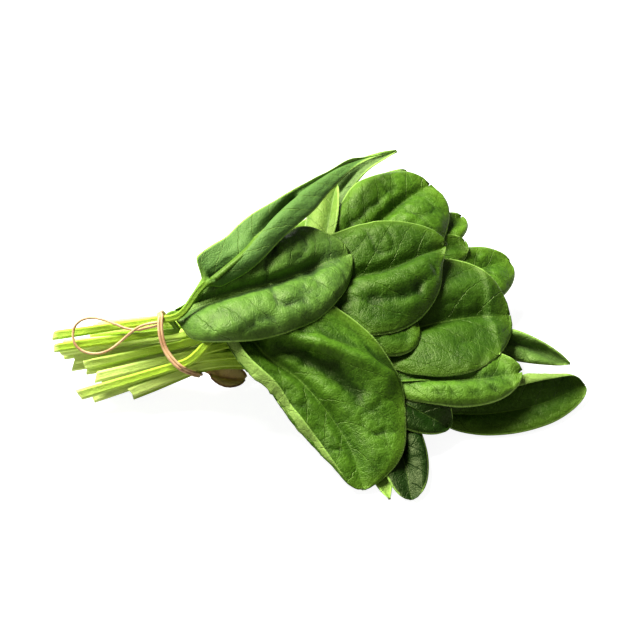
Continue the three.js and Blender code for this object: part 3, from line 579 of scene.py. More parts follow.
# ---- the fine surface of a leaf -------------------------------------------------------------
STALK_ROW = 3.2              # between two rows of points on a stalk
BLADE_ROW = 1.3              # and on a blade
COLUMN = 1.5                 # between two columns at the margin of a blade, about
CROWDING = 1.4               # how much closer the columns lie at the midrib
BOTTOM_COARSENESS = 1.7      # the lowest leaves, which hardly show, have fewer points
FEWEST_COLUMNS = 7           # on half a leaf
FEWEST_STALK_ROWS = 4        # to each side of the tie
FEWEST_BLADE_ROWS = 10
END_CROWDING = 0.3           # how much closer the rows lie at both ends of a blade
BLADE_STARTS = 0.06          # the share of its length by which a stalk has become a blade
LEVEL_FROM = 0.8             # from here to the tip all columns are lifted as one
LIFT_BLUR = 6
WAY_BLUR = 6
TOP_GAP = 0.15               # air between a leaf and what it lies on,
FLOOR_GAP = 0.05             # and between a leaf and the floor
FLOOR = -ORIGIN_SHIFT[2]
LAY_PASSES = 24              # to spread the lifts that it needs to its other points,
LAY_SINK = 0.98              # each of which keeps this much of them
THIRDS = (0, 0.34, 0.67)     # of a quad, to fill in the map between its corners
BLADE_SKIN = 0.3             # half the thickness of a blade
MARGIN_SKIN = 0.5            # its margin is thinner by this share
TIP_RIB = 0.32               # the midrib's half width at the tip
RIB_TAPER = 0.4
RIB_DEPTH = 1.2              # how far it stands out underneath, of its half width
RIB_VALLEY = 0.5             # how far the upper side sinks over it, of its half width
TIP_BLUR = 14                # how much the tip of a blade is rounded off
RELIEF_BLUR = 14             # how wide the hollows are that the materials darken with painted shade

# How far apart the bumps lie that make the parts of a leaf uneven.
WIDTH_BUMPS = 17
VEIN_BUMPS = 24
QUILT_BUMPS = 15
SWELL_BUMPS = 19
PUCKER_BUMPS = (13, 6.5)     # large puckers, and small ones between them
RIPPLE_BUMPS = 14
STALK_BUMPS = 11
WIDTH_UNEVENNESS = 0.035     # of the width
QUILT_UNEVENNESS = 0.7       # of the height
VEIN_UNEVENNESS = 0.3        # of the way to the next side vein
VEIN_STAGGER = 0.45          # the side veins of the left half lie this much further on
VEIN_START = 20
CREASE = 2.6                 # how narrow the creases between two puckers are
SMALL_PUCKERS = 0.4          # how high they are beside the large ones
OTHER_MARGIN = 300.0         # keeps the ripples of one margin apart from the other's

# The stalk: a ridged rod with a channel on its upper side.
STALK_RIDGES = 0.04
STALK_UNEVENNESS = 0.03
CHANNEL_DEPTH = 0.3
CHANNEL_WIDTH = 0.3
FOOT_LENGTH = 50             # it widens over this length towards its cut end,
FOOT = (0.05, 0.55)          # by a share between these,
SLANT = (-1.4, 1.4)          # and is cut at a slant between these
CUT_LENGTH = 1.5             # how far from the cut its slant can be seen

# How the surface of a leaf differs from the plain one: the height of the bulges between its side
# veins, of the puckers, of the wide swells, of the ripples of its margin and of the margin
# itself, the pitch and the sweep of its side veins, and its folds: from (t, q) to (t, q), half
# as wide as, as high as. The tones say how light its two sides are. On the upper side a low tone
# also paints shade on a leaf that lies in shadow, and a high one paints a sheen on it. A turned
# leaf shows its underside.
PLAIN_SURFACE = dict(quilt=0.5, pucker=1.3, swell=1.8, ripple=0.9, cup=1.2, pitch=12, sweep=0.8,
                     folds=[], turned=False, tone_and_lighting=0.5, under_tone=0.5)
SURFACES = {
  "leaf_front_large": dict(
    quilt=0.4, pucker=1.4, swell=1.6, ripple=0.8, pitch=17, sweep=1.1, tone_and_lighting=0.42, under_tone=0.9,
    folds=[(0.15, 0.3, 0.38, 0.42, 5, 4.5), (0.38, 0.42, 0.6, 0.8, 5, 4.5),
           (0.25, 0.18, 0.6, 0.42, 5, -3.5), (0.55, 0.15, 0.85, 0.4, 4, 1.5)]),
  "leaf_front_blunt": dict(
    quilt=0.7, pucker=2.3, swell=1.4, ripple=0.8, sweep=0.5, tone_and_lighting=0.75,
    folds=[(0.05, 0, 0.75, -0.05, 5, -2.5), (0.75, -0.05, 0.86, 0.2, 4, -1.5)]),
  "leaf_middle_broad": dict(
    pucker=1.7, swell=1.5, ripple=0.8, pitch=17, sweep=1.1, tone_and_lighting=0.15,
    folds=[(0.45, -0.28, 0.8, -0.3, 7, 3.5), (0.42, -0.2, 0.5, -0.47, 3, -2),
           (0.5, -0.47, 0.71, -0.57, 3, -2)]),
  "leaf_right_large": dict(
    quilt=0.4, pucker=1.0, swell=1.4, ripple=0.7, pitch=18, sweep=1.0, tone_and_lighting=0.15,
    folds=[(0.5, 0.42, 0.8, 0.5, 6, 2.5), (0.1, 0, 0.9, 0.05, 5, -1.5)]),
  "leaf_right_blistered": dict(
    quilt=0.8, pucker=2.0, swell=1.5, ripple=1.2, pitch=10, sweep=0.6, tone_and_lighting=0.65),
  "leaf_top_round": dict(
    quilt=0.6, pucker=1.8, swell=1.6, ripple=1.0, pitch=11, sweep=0.7, tone_and_lighting=0.45),
  "leaf_top_folded": dict(
    quilt=0.3, pucker=0.6, swell=0.9, ripple=0.8, pitch=14, sweep=1.0, turned=True,
    under_tone=-0.1, folds=[(0.06, 0.2, 0.5, 0.22, 2.2, -5.5)]),
  "leaf_far_right_cupped": dict(
    quilt=0.3, pucker=0.5, swell=0.8, ripple=0.7, tone_and_lighting=0.15, under_tone=0.95),
  "leaf_front_dark": dict(tone_and_lighting=-0.5),
  "leaf_low_right_dark": dict(tone_and_lighting=-0.35),
  "leaf_far_right_slim": dict(tone_and_lighting=0.8),
  "leaf_top_pale_edge": dict(tone_and_lighting=0.15, under_tone=0.3),
  "leaf_right_shaded": dict(tone_and_lighting=0.2),
  "leaf_middle_small": dict(tone_and_lighting=0.2),
  "leaf_top_narrow": dict(quilt=0.2, pucker=0.6, tone_and_lighting=1.0),
  "leaf_withered": dict(quilt=0.8, pucker=2.6, swell=3.2, ripple=4, pitch=5, tone_and_lighting=0.55),
}


LATTICE = 64                 # the noise comes back after so many bumps
NOISE_START = (23.7, 31.3)


def noise(x, y, size, seed):
    """Smooth noise from -1 to 1, in bumps that are about as far apart as size."""
    lattice = np.random.default_rng(seed).uniform(-1, 1, (LATTICE, LATTICE))
    x, y = (np.asarray(way) / size + start for way, start in zip((x, y), NOISE_START))
    i, j = np.floor(x).astype(int), np.floor(y).astype(int)
    p, q = (f * f * f * (f * (6 * f - 15) + 10) for f in (x - i, y - j))
    corner = [lattice[(i + a) % LATTICE, (j + b) % LATTICE] for a in (0, 1) for b in (0, 1)]
    return ((corner[0] * (1 - q) + corner[1] * q) * (1 - p)
            + (corner[2] * (1 - q) + corner[3] * q) * p)


def flowing(x, y, at):
    """Values at the places at, on smooth curves through y that don't overshoot."""
    step = np.diff(x)[:, None]
    slope = np.diff(y, axis=0) / step
    before, after = slope[:-1], slope[1:]
    w1, w2 = 2 * step[1:] + step[:-1], step[1:] + 2 * step[:-1]
    same = before * after > 0
    safe_before, safe_after = np.where(same, before, 1), np.where(same, after, 1)
    lean = np.zeros_like(y)
    lean[1:-1] = np.where(same, (w1 + w2) / (w1 / safe_before + w2 / safe_after), 0)
    lean[0], lean[-1] = slope[0], slope[-1]
    k = np.clip(np.searchsorted(x, at, side="right") - 1, 0, len(x) - 2)
    s = np.clip((at - x[k]) / (x[k + 1] - x[k]), 0, 1)[:, None]
    return (y[k] * (1 + 2 * s) * (1 - s) ** 2 + y[k + 1] * s**2 * (3 - 2 * s)
            + step[k] * (lean[k] * s * (1 - s) ** 2 - lean[k + 1] * s**2 * (1 - s)))


def blur(grid, times, across=True):
    """Softens a grid of values, along its rows of points and across them."""
    for _ in range(times):
        wide = np.concatenate([grid[:1], grid, grid[-1:]])
        grid = (wide[:-2] + 2 * wide[1:-1] + wide[2:]) / 4
        if across:
            wide = np.concatenate([grid[:, :1], grid, grid[:, -1:]], axis=1)
            grid = (wide[:, :-2] + 2 * wide[:, 1:-1] + wide[:, 2:]) / 4
    return grid


def fold(u, v, start, end, half, high, widths):
    """A ridge of a blade, or a furrow where high is below 0, that fades at its two ends."""
    (v0, q0), (v1, q1) = start, end
    share = (v - v0) / (v1 - v0)
    middle = (q0 + (q1 - q0) * np.clip(share, 0, 1)) * widths
    beyond = np.maximum(np.abs(share - 0.5) - 0.5, 0) * abs(v1 - v0)
    return high * np.exp(-((u - middle) / half) ** 2 - (beyond / (1.2 * half)) ** 2)


def creases(x, y, size, seed):
    """0 along narrow lines, and up to 1 on the puckers between them."""
    return np.minimum(CREASE * np.abs(noise(x, y, size, seed)), 1) ** 0.6


class FineLeaf:
    """The fine surface of a leaf: two grids of points, the upper side and the underside.

    A row of the grids lies across the leaf. walked is how far it is from the cut end, and t the
    share of the blade that it has reached. q is a column's share of the width of its half, and
    size is q without its sign. u and v are how far a point is from the midrib and from the base
    of the blade. blade is 0 on the stalk and 1 on the blade.
    """

    def __init__(self, leaf, lift, shares, seed):
        self.leaf, self.seed = leaf, seed
        self.look = {**PLAIN_SURFACE, **SURFACES.get(leaf.spec["name"], {})}
        widest = max(leaf.spec["left"]["width"], leaf.spec["right"]["width"])
        side = max(FEWEST_COLUMNS, math.ceil(widest / COLUMN / self.coarseness()))
        self.s = np.linspace(-1, 1, 2 * side + 1)
        self.q = np.sign(self.s) * np.abs(self.s) ** CROWDING
        self.size = np.abs(self.q)[None, :]
        self.walk = self._walks()
        self.line, self.t = leaf.line(self.walk)
        steps = np.linalg.norm(np.diff(self.line, axis=0), axis=1)
        self.walked = np.concatenate([[0], np.cumsum(steps)])
        self.blade = smoothstep(self.t, 0, BLADE_STARTS)
        self._spread_lift(lift, shares)
        self._set_axes()
        self._spread_sections()
        height = self._height()
        self.relief = height - blur(height, RELIEF_BLUR)
        share = self.blade[:, None, None]
        sides = zip(self._blade_sides(height), self._stalk_sides())
        self.top, self.under = (blade * share + stalk * (1 - share) for blade, stalk in sides)
        self._measure_for_skin()

    def coarseness(self):
        return BOTTOM_COARSENESS if self.leaf.row == 0 else 1

    def _walks(self):
        """Where the rows lie on the leaf's walk: closer on the blade, and closest at its ends."""
        leaf, grain = self.leaf, self.coarseness()
        lower = max(FEWEST_STALK_ROWS, round(leaf.lower.length / STALK_ROW / grain))
        upper = max(FEWEST_STALK_ROWS, round(leaf.upper.length / STALK_ROW / grain))
        blade = max(FEWEST_BLADE_ROWS, round(leaf.rib.length / BLADE_ROW / grain))
        tau = np.linspace(0, 1, blade + 1)
        t = (1 - 2 * END_CROWDING) * tau + END_CROWDING * (1 - np.cos(math.pi * tau))
        stops = np.concatenate([[0], BLADE_STATIONS, [1]])
        return np.concatenate([
            np.linspace(0, leaf.tie_ring, lower, endpoint=False),
            np.linspace(leaf.tie_ring, leaf.base_ring, upper, endpoint=False),
            leaf.base_ring + np.interp(t, stops, np.arange(len(stops))),
        ])

    def _spread_lift(self, lift, shares):
        """The lifts that the coarse sheet needed, carried smoothly to the fine one."""
        rings = np.interp(np.arange(self.leaf.rings), self.walk, self.walked)
        along = flowing(rings, lift, self.walked)
        lift = flowing(shares, along.T, self.q).T
        soft = blur(lift, LIFT_BLUR)
        self.lift = self._level_tip(lift + (soft - lift) * self.blade[:, None])

    def _level_tip(self, lift):
        """Raises the columns as one towards the tip, where they meet."""
        share = smoothstep(self.t, LEVEL_FROM, 1)[:, None]
        return lift + (lift.max(axis=1, keepdims=True) - lift) * share

    def _set_axes(self):
        """The way along the leaf at each row, and the directions across and up from it."""
        self.way = unit(blur(unit(np.gradient(self.line, axis=0)), WAY_BLUR, across=False))
        face = unit(np.array(self.leaf.spec.get("face", PILE_FACE), float))
        turn = smoothstep(self.t, 0, FACE_BY)[:, None]
        self.side = unit(np.cross(OUT * (1 - turn) + face * turn, self.way))
        self.up = np.cross(self.way, self.side)

    def _spread_sections(self):
        """Spreads the smooth blade: how far across and up each point is, and its u and v."""
        leaf, q = self.leaf, self.q
        along = self.walked - self.walked[np.searchsorted(self.walk, leaf.base_ring)]
        rows, columns = len(along), len(q)
        self.across, self.rise, self.widths = np.empty((3, rows, columns))
        for left in (False, True):
            own = q >= 0 if left else q < 0
            spread, height = section(leaf.spec["left" if left else "right"]["section"],
                                     np.abs(q[own]), self.t)
            uneven = noise(along, np.full(rows, 40.0 * left), WIDTH_BUMPS, self.seed)
            width = (leaf.half_width(self.t, left) * (1 + WIDTH_UNEVENNESS * uneven))[:, None]
            self.across[:, own] = (1 if left else -1) * width * spread
            self.rise[:, own] = width * height
            self.widths[:, own] = width
        self.u, self.v = q * self.widths, np.repeat(along[:, None], columns, axis=1)

    def _height(self):
        """How far the surface stands out from the smooth blade."""
        look, u, v, t, seed, size = self.look, self.u, self.v, self.t, self.seed, self.size
        sweep = look["sweep"] * np.abs(u) * (1 + 0.3 * size)
        self.vein = ((v - sweep) / look["pitch"] + VEIN_STAGGER * (self.q > 0)
                     + VEIN_UNEVENNESS * noise(u, v, VEIN_BUMPS, seed + 1) + VEIN_START)
        cushion = np.abs(np.sin(math.pi * self.vein)) ** 0.9
        inside = (smoothstep(np.abs(u), 0.6, 6) * (1 - smoothstep(size, 0.7, 1))
                  * smoothstep(t, 0.02, 0.2)[:, None]
                  * (1 - 0.7 * smoothstep(t, 0.8, 1)[:, None]))
        uneven = 1 + QUILT_UNEVENNESS * noise(u, v, QUILT_BUMPS, seed + 2)
        height = look["quilt"] * inside * cushion * uneven
        height += look["swell"] * smoothstep(size, 0, 0.4) * noise(u, v, SWELL_BUMPS, seed + 3)
        large = creases(u, v, PUCKER_BUMPS[0], seed + 6)
        small = creases(u, v, PUCKER_BUMPS[1], seed + 4)
        height += look["pucker"] * inside * (large + SMALL_PUCKERS * small)
        length = self.leaf.rib.length
        for t0, q0, t1, q1, half, high in look["folds"]:
            height += fold(u, v, (t0 * length, q0), (t1 * length, q1), half, high, self.widths)
        height += look["cup"] * smoothstep(size, 0.55, 1) * smoothstep(t, 0.1, 0.4)[:, None]
        margin = np.where(self.q > 0, OTHER_MARGIN, 0.0)[None, :] + 0 * v
        ripple = noise(v, margin, RIPPLE_BUMPS, seed + 5)
        height += look["ripple"] * smoothstep(size, 0.5, 1) * ripple
        self.rib_half = (self.leaf.radius + (TIP_RIB - self.leaf.radius) * t**RIB_TAPER)[:, None]
        valley = np.exp(-(u / (1.2 * self.rib_half + 0.5)) ** 2)
        return height - RIB_VALLEY * self.rib_half * valley

    def _blade_sides(self, height):
        """The two sides of the blade, with its midrib standing out underneath."""
        size, rib = self.size, self.rib_half
        sheet = (self.line[:, None] + self.side[:, None] * self.across[..., None]
                 + self.up[:, None] * self.rise[..., None])
        sheet = sheet + grid_normals(sheet) * (height * self.blade[:, None])[..., None]
        turned = sheet.transpose(1, 0, 2)
        rounded = blur(turned, TIP_BLUR, across=False).transpose(1, 0, 2)
        near_tip = smoothstep(self.t, 0.65, 0.92)[:, None] * (1 - smoothstep(size, 0.5, 0.95))
        sheet = sheet + (rounded - sheet) * near_tip[..., None]
        normals = grid_normals(sheet)
        skin = BLADE_SKIN * (1 - MARGIN_SKIN * smoothstep(size, 0.85, 1)) + 0 * self.v
        under = skin + rib * RIB_DEPTH * np.exp(-(self.u / rib) ** 2 * 1.3)
        return sheet + normals * skin[..., None], sheet - normals * under[..., None]

    def _stalk_sides(self):
        """The upper and the lower half of the stalk, in the same columns as the blade."""
        radius, s, v = self.leaf.radius, self.s, self.v
        angle = math.pi / 2 * s
        uneven = noise(v, 6 * s + 0 * v, STALK_BUMPS, self.seed)
        ridges = 1 + STALK_RIDGES * np.cos(4 * math.pi * s) + STALK_UNEVENNESS * uneven
        low, high = zip(FOOT, SLANT)
        foot, slant = np.random.default_rng(self.seed + 7).uniform(low, high)
        wider = 1 + foot * (1 - smoothstep(self.walked, 0, FOOT_LENGTH))[:, None]
        self.round_x = radius * np.sin(angle) * ridges * wider
        round_z = radius * np.cos(angle) * ridges
        channel = 1 - CHANNEL_DEPTH * np.exp(-(s / CHANNEL_WIDTH) ** 2)
        cut = slant * np.exp(-(self.walked / CUT_LENGTH) ** 2)[:, None] * np.sin(angle)
        middle = self.line[:, None] + self.side[:, None] * self.round_x[..., None]
        slanted = self.way[:, None] * cut[..., None]
        return (middle + self.up[:, None] * (round_z * channel)[..., None] + slanted,
                middle - self.up[:, None] * round_z[..., None] + slanted)

    def _measure_for_skin(self):
        """What the materials go by: places on the skin, and the ways to the midrib and the rim."""
        t, blade = self.t[:, None], self.blade[:, None]
        self.rib = (np.abs(self.u) / (0.45 * self.rib_half + 0.08)
                    + 0.5 * smoothstep(t, 0.4, 0.95))
        to_tip = (1 - t) * self.leaf.rib.length
        self.rim = np.minimum((1 - self.size) * self.widths, to_tip) + smoothstep(t, 0.95, 1)
        self.u = self.u * blade + self.round_x * (1 - blade)

    def lay_on(self, pile):
        """Lays the surface on the fine pile, which it then joins."""
        leaf = self.leaf
        self._raise(self.lift)
        need = np.full(self.u.shape, -np.inf)
        for points in (self.top, self.under):
            cell = pile.cells(points[..., 0], points @ RISE)
            need = np.maximum(need, pile.top[cell] + TOP_GAP - points @ OUT)
            need = np.maximum(need, (FLOOR + FLOOR_GAP - points[..., 2]) / OUT[2])
        held = self.walk <= leaf.tie_ring if leaf.row < TIE_ROWS - 1 else self.walk < 0
        stalk = self.t <= 0
        need[held] = 0
        need[stalk] = need[stalk].max(axis=1, keepdims=True)
        need = np.maximum(need, 0)
        lift = need
        for _ in range(LAY_PASSES):
            lift = np.maximum(need, LAY_SINK * blur(lift, 1))
            lift[held] = 0
            lift[stalk] = lift[stalk].max(axis=1, keepdims=True)
        self._raise(self._level_tip(lift))
        for points in (self.top, self.under):
            for p in THIRDS:
                for q in THIRDS:
                    part = ((points[:-1, :-1] * (1 - p) + points[1:, :-1] * p) * (1 - q)
                            + (points[:-1, 1:] * (1 - p) + points[1:, 1:] * p) * q)
                    cell = pile.cells(part[..., 0], part @ RISE)
                    np.maximum.at(pile.top, cell, part @ OUT)

    def _raise(self, lift):
        self.top += lift[..., None] * OUT
        self.under += lift[..., None] * OUT


# ---- the mesh of a leaf ---------------------------------------------------------------------
CUT_CAPS = ((0.55, 0.1), (0.93, 0.18))    # rings inside the cut end: how wide, and how far out


def around(top, under):
    """Values round the rings of a leaf's skin, from those on its two sides."""
    return np.concatenate([top, under[:, ::-1]], axis=1)


def skin_points(fine):
    """The rings of the skin, after the two that close its cut end, and the middle of that end."""
    loops = around(fine.top, fine.under)
    middle = loops[0].mean(axis=0)
    out = unit(middle - loops[1].mean(axis=0))
    caps = [middle + (loops[0] - middle) * share + out * push for share, push in CUT_CAPS]
    return np.concatenate([*caps, *loops, middle[None]])


def skin_faces(rows, columns):
    """Quads round the skin and across its tip, and a fan round the middle of the cut end."""
    ring = 2 * columns
    rings = rows + len(CUT_CAPS)
    first = np.arange(rings - 1)[:, None] * ring
    here, after = np.arange(ring)[None, :], (np.arange(ring)[None, :] + 1) % ring
    quads = np.stack([first + here, first + ring + here, first + ring + after, first + after],
                     axis=-1).reshape(-1, 4)
    j, last = np.arange(columns - 1), (rings - 1) * ring
    tip = np.stack([last + j, last + ring - 1 - j, last + ring - 2 - j, last + j + 1], axis=-1)
    j = np.arange(ring)
    fan = np.stack([np.full(ring, rings * ring), j, (j + 1) % ring], axis=-1)
    return quads.tolist() + tip.tolist() + fan.tolist()


def skin_layers(fine):
    """What the materials read at each point: where it is on the skin, and of what kind it is."""
    none = 0 * fine.u
    blade = none + fine.blade[:, None]
    cut = none + (np.arange(len(none)) == 0)[:, None]
    is_under = (none, none + 1)
    tones_and_lighting = (none + fine.look["tone_and_lighting"], none + fine.look["under_tone"])
    if fine.look["turned"]:
        is_under, tones_and_lighting = is_under[::-1], tones_and_lighting[::-1]

    def both(values):
        return around(values, values)

    return {
        "sheet": np.stack([both(fine.u), both(fine.v), both(fine.vein)], axis=-1),
        "zone": np.stack([both(fine.rim), both(blade), around(*is_under)], axis=-1),
        "rib": both(fine.rib),
        "cut": both(cut),
        "tone_and_lighting": around(*tones_and_lighting),
        "relief": around(fine.relief, -fine.relief),
    }


def new_mesh(name, points, faces):
    """A smooth mesh, from points in millimetres."""
    mesh = bpy.data.meshes.new(name)
    mesh.from_pydata(((points + ORIGIN_SHIFT) * MM).tolist(), [], faces)
    mesh.polygons.foreach_set("use_smooth", [True] * len(mesh.polygons))
    return mesh


def leaf_mesh(fine, name):
    """Closes the two sides of a leaf into one skin, with a cut end and a rim."""
    mesh = new_mesh(name, skin_points(fine), skin_faces(*fine.u.shape))
    for label, values in skin_layers(fine).items():
        rings = [values[0]] * len(CUT_CAPS) + [*values, values[0, :1]]
        vectors = values.ndim == 3
        layer = mesh.attributes.new(label, "FLOAT_VECTOR" if vectors else "FLOAT", "POINT")
        layer.data.foreach_set("vector" if vectors else "value",
                               np.concatenate(rings).astype(np.float32).ravel())
    mesh.update()
    return mesh


# ---- the rubber band ------------------------------------------------------------------------
BAND_WIDTH = 3.2
BAND_THICKNESS = 1.4
BAND_GAP = 0.4               # between the band and the outermost stalks
BAND_BOW = 6.8               # its middle bows towards the cut ends by this much,
BAND_HALF = 18               # over this length to each side
BAND_REACH = 32              # what passes farther from its middle than this isn't in it
BAND_ALONG = unit(-0.524 * ALONG + 0.852 * RISE)
BAND_FACING = np.cross(BAND_ALONG, OUT)
BAND_MIDDLE = lay(TIE_CENTRE[0], TIE_CENTRE[1], TIE_DEPTH)
BAND_STEPS = 200
BAND_SMOOTHING = 4
BAND_BUMPS = 7               # how far apart its thicker and thinner places are
BAND_UNEVENNESS = 0.07
BAND_SEED = 5
TURN_ANGLES = (205, 175, 140, 105, 70, 35, 8)    # round the outside of one turn
TURN_BULGE = 1.2
TURN_SINK = 0.2
BACK_PLACES = (0.75, 0.25, -0.25, -0.75)         # across the flat inner side of both turns


def band_bow(along):
    return BAND_BOW * np.clip(1 - (along / BAND_HALF) ** 2, 0, None)


def places_in_band(fine):
    """Where a leaf's skin passes through the band's width: how far along the band and out."""
    skin = np.concatenate([fine.top, fine.under], axis=1) - BAND_MIDDLE
    local = np.stack([skin @ BAND_ALONG, skin @ OUT, skin @ BAND_FACING], axis=-1)
    local[..., 2] += band_bow(local[..., 0])
    before, after = local[:-1], local[1:]
    found = []
    for level in (-BAND_WIDTH / 2, 0, BAND_WIDTH / 2):
        crosses = (before[..., 2] - level) * (after[..., 2] - level) < 0
        a, b = before[crosses], after[crosses]
        share = ((level - a[:, 2]) / (b[:, 2] - a[:, 2]))[:, None]
        found.append((a + (b - a) * share)[:, :2])
    found = np.concatenate(found)
    return found[np.hypot(found[:, 0], found[:, 1]) < BAND_REACH]


def band_round(places):
    """The middle line of the band, drawn tight round places, and how far along it each point is."""
    turn = np.linspace(0, 2 * math.pi, BAND_STEPS, endpoint=False)
    outward = np.stack([np.cos(turn), np.sin(turn)], axis=1)
    touched = places[(outward @ places.T).argmax(axis=1)]
    ring = touched + outward * (BAND_GAP + BAND_THICKNESS / 2)
    closed = np.vstack([ring, ring[:1]])
    walked = np.concatenate([[0], np.cumsum(np.linalg.norm(np.diff(closed, axis=0), axis=1))])
    at = np.linspace(0, walked[-1], BAND_STEPS, endpoint=False)
    ring = np.stack([np.interp(at, walked, closed[:, n]) for n in (0, 1)], axis=1)
    for _ in range(BAND_SMOOTHING):
        ring = (np.roll(ring, 1, axis=0) + 2 * ring + np.roll(ring, -1, axis=0)) / 4
    centre = (BAND_MIDDLE + np.outer(ring[:, 0], BAND_ALONG) + np.outer(ring[:, 1], OUT)
              - np.outer(band_bow(ring[:, 0]), BAND_FACING))
    return centre, at


def band_profile():
    """The section of two turns side by side: how far out and how far across each point is."""
    half, lobe = BAND_THICKNESS / 2, BAND_WIDTH / 4
    profile = [(half * TURN_BULGE * math.sin(a) - TURN_SINK * half, lobe * math.cos(a) - lobe)
               for a in np.radians(TURN_ANGLES)]
    profile += [(out, -wide) for out, wide in reversed(profile)]
    return np.array(profile + [(-half, 2 * lobe * share) for share in BACK_PLACES])


def rubber_band(places):
    """A closed ring of two turns side by side, drawn tight round the stalks."""
    centre, at = band_round(places)
    way = unit(np.roll(centre, -1, axis=0) - np.roll(centre, 1, axis=0))
    side = unit(BAND_FACING - way * (way @ BAND_FACING)[:, None])
    away = np.cross(way, side)
    away *= np.sign((away * (centre - centre.mean(axis=0))).sum(axis=1, keepdims=True))
    profile = band_profile()
    swell = 1 + BAND_UNEVENNESS * noise(at, 0 * at, BAND_BUMPS, BAND_SEED)
    points = (centre[:, None] + away[:, None] * (profile[:, 0] * swell[:, None])[..., None]
              + side[:, None] * (profile[:, 1] * swell[:, None])[..., None])
    count = len(profile)
    i, j = (a.ravel() for a in np.mgrid[0:BAND_STEPS, 0:count])
    i2, j2 = (i + 1) % BAND_STEPS, (j + 1) % count
    faces = np.stack([i * count + j, i2 * count + j, i2 * count + j2, i * count + j2], axis=-1)
    mesh = new_mesh("rubber_band_turns", points.reshape(-1, 3), faces.tolist())
    mesh.update()
    return mesh


# The slack of the band leaves it, lies on the stalks and comes back: [x, v, out from the plane].
LOOP_DIAMETER = 1.4
LOOP_ROUTE = [
  [-83.1, 38.7, 35.2], [-89, 37.4, 31.6], [-94.6, 36.5, 28.6], [-100, 37.3, 26.8],
  [-105, 39.2, 24.8], [-110.8, 41.3, 22.8], [-115, 42.4, 21.4], [-118.8, 42.7, 20.4],
  [-122.5, 42, 19.6], [-125.4, 40.3, 19.2], [-127.3, 37.8, 19], [-128, 35, 19],
  [-127.8, 31.5, 19.2], [-126.4, 28.3, 19.6], [-123.6, 25.9, 19.8], [-119.8, 24.5, 20],
  [-115.4, 24.2, 20.4], [-111.2, 25.1, 21.2], [-107.5, 27, 22.4], [-104, 29.6, 24],
  [-100.5, 32.5, 26], [-96.7, 35.6, 29.6], [-93, 38, 31.4], [-89, 39.4, 33.9],
  [-83.1, 40.5, 37.1],
]


def add_loose_loop(material):
    """The slack of the band, as a round cord."""
    route = (lay(*np.array(LOOP_ROUTE).T) + ORIGIN_SHIFT) * MM
    curve = bpy.data.curves.new("band_slack", "CURVE")
    curve.dimensions = "3D"
    curve.bevel_depth = LOOP_DIAMETER / 2 * MM
    curve.bevel_resolution = 4
    curve.resolution_u = 8
    curve.use_fill_caps = True
    spline = curve.splines.new("BEZIER")
    spline.bezier_points.add(len(route) - 1)
    for point, at in zip(spline.bezier_points, route):
        point.co = at
        point.handle_left_type = point.handle_right_type = "AUTO"
    curve.materials.append(material)
    loop = bpy.data.objects.new("band_slack", curve)
    bpy.context.collection.objects.link(loop)
    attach(loop, "root")
    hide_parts("band_loose_loop")


# ---- materials ------------------------------------------------------------------------------
class Shader:
    """Nodes of one material or group, each made with its settings and its inputs in one call."""

    def __init__(self, tree):
        self.tree = tree

    def node(self, kind, settings=None, **inputs):
        made = self.tree.nodes.new("ShaderNode" + kind)
        for name, value in (settings or {}).items():
            setattr(made, name, value)
        for name, value in inputs.items():
            self.feed(made.inputs[name.replace("_", " ")], value)
        return made

    def feed(self, socket, value):
        if isinstance(value, bpy.types.NodeSocket):
            self.tree.links.new(value, socket)
        else:
            socket.default_value = value

    def math(self, operation, first, second=0.0):
        made = self.node("Math", {"operation": operation})
        self.feed(made.inputs[0], first)
        self.feed(made.inputs[1], second)
        return made.outputs[0]

    def times(self, first, second):
        return self.math("MULTIPLY", first, second)

    def plus(self, first, second):
        return self.math("ADD", first, second)

    def ramp(self, value, low, high, out_low=0.0, out_high=1.0):
        """The value at low and beyond becomes out_low, and at high out_high, softly between."""
        made = self.node("MapRange", {"interpolation_type": "SMOOTHSTEP"}, Value=value,
                         From_Min=low, From_Max=high, To_Min=out_low, To_Max=out_high)
        return made.outputs["Result"]

    def mix(self, share, first, second):
        made = self.node("Mix", {"data_type": "RGBA"})
        self.feed(made.inputs[0], share)
        self.feed(made.inputs[6], first)
        self.feed(made.inputs[7], second)
        return made.outputs[2]

    def tint(self, colour, mask, most, over):
        """A colour with another one over it: by most where the mask is 1, and less elsewhere."""
        return self.mix(self.times(mask, most), colour, over)

    def noise(self, place, scale, detail=2.0):
        return self.node("TexNoise", Vector=place, Scale=scale, Detail=detail).outputs["Fac"]

    def painted(self, layer, kind="Fac"):
        """What a mesh holds for the materials under the name of a layer."""
        return self.node("Attribute", {"attribute_name": layer}).outputs[kind]


def new_material(name):
    """A material, the maker of its nodes and its own shader's sockets."""
    material = bpy.data.materials.new(name)
    material.use_nodes = True
    tree = material.node_tree
    return material, Shader(tree), tree.nodes["Principled BSDF"].inputs


def new_group(name, inputs, outputs):
    """A node group, the maker of its nodes, and what it is given and gives out."""
    group = bpy.data.node_groups.new(name, "ShaderNodeTree")
    for label, kind in inputs:
        group.interface.new_socket(label, in_out="INPUT", socket_type="NodeSocket" + kind)
    for label, kind in outputs:
        group.interface.new_socket(label, in_out="OUTPUT", socket_type="NodeSocket" + kind)
    return (group, Shader(group), group.nodes.new("NodeGroupInput").outputs,
            group.nodes.new("NodeGroupOutput").inputs)


NET_LAYERS = ((1.0, 0.12), (2.7, 0.16))    # of the small veins: how much finer, and how wide
FINE_NET = 0.6                             # how much fainter the finer net is
NET_RELIEF = 0.2                           # how deep the net lies beside the side veins
VEIN_WANDERING = 0.22


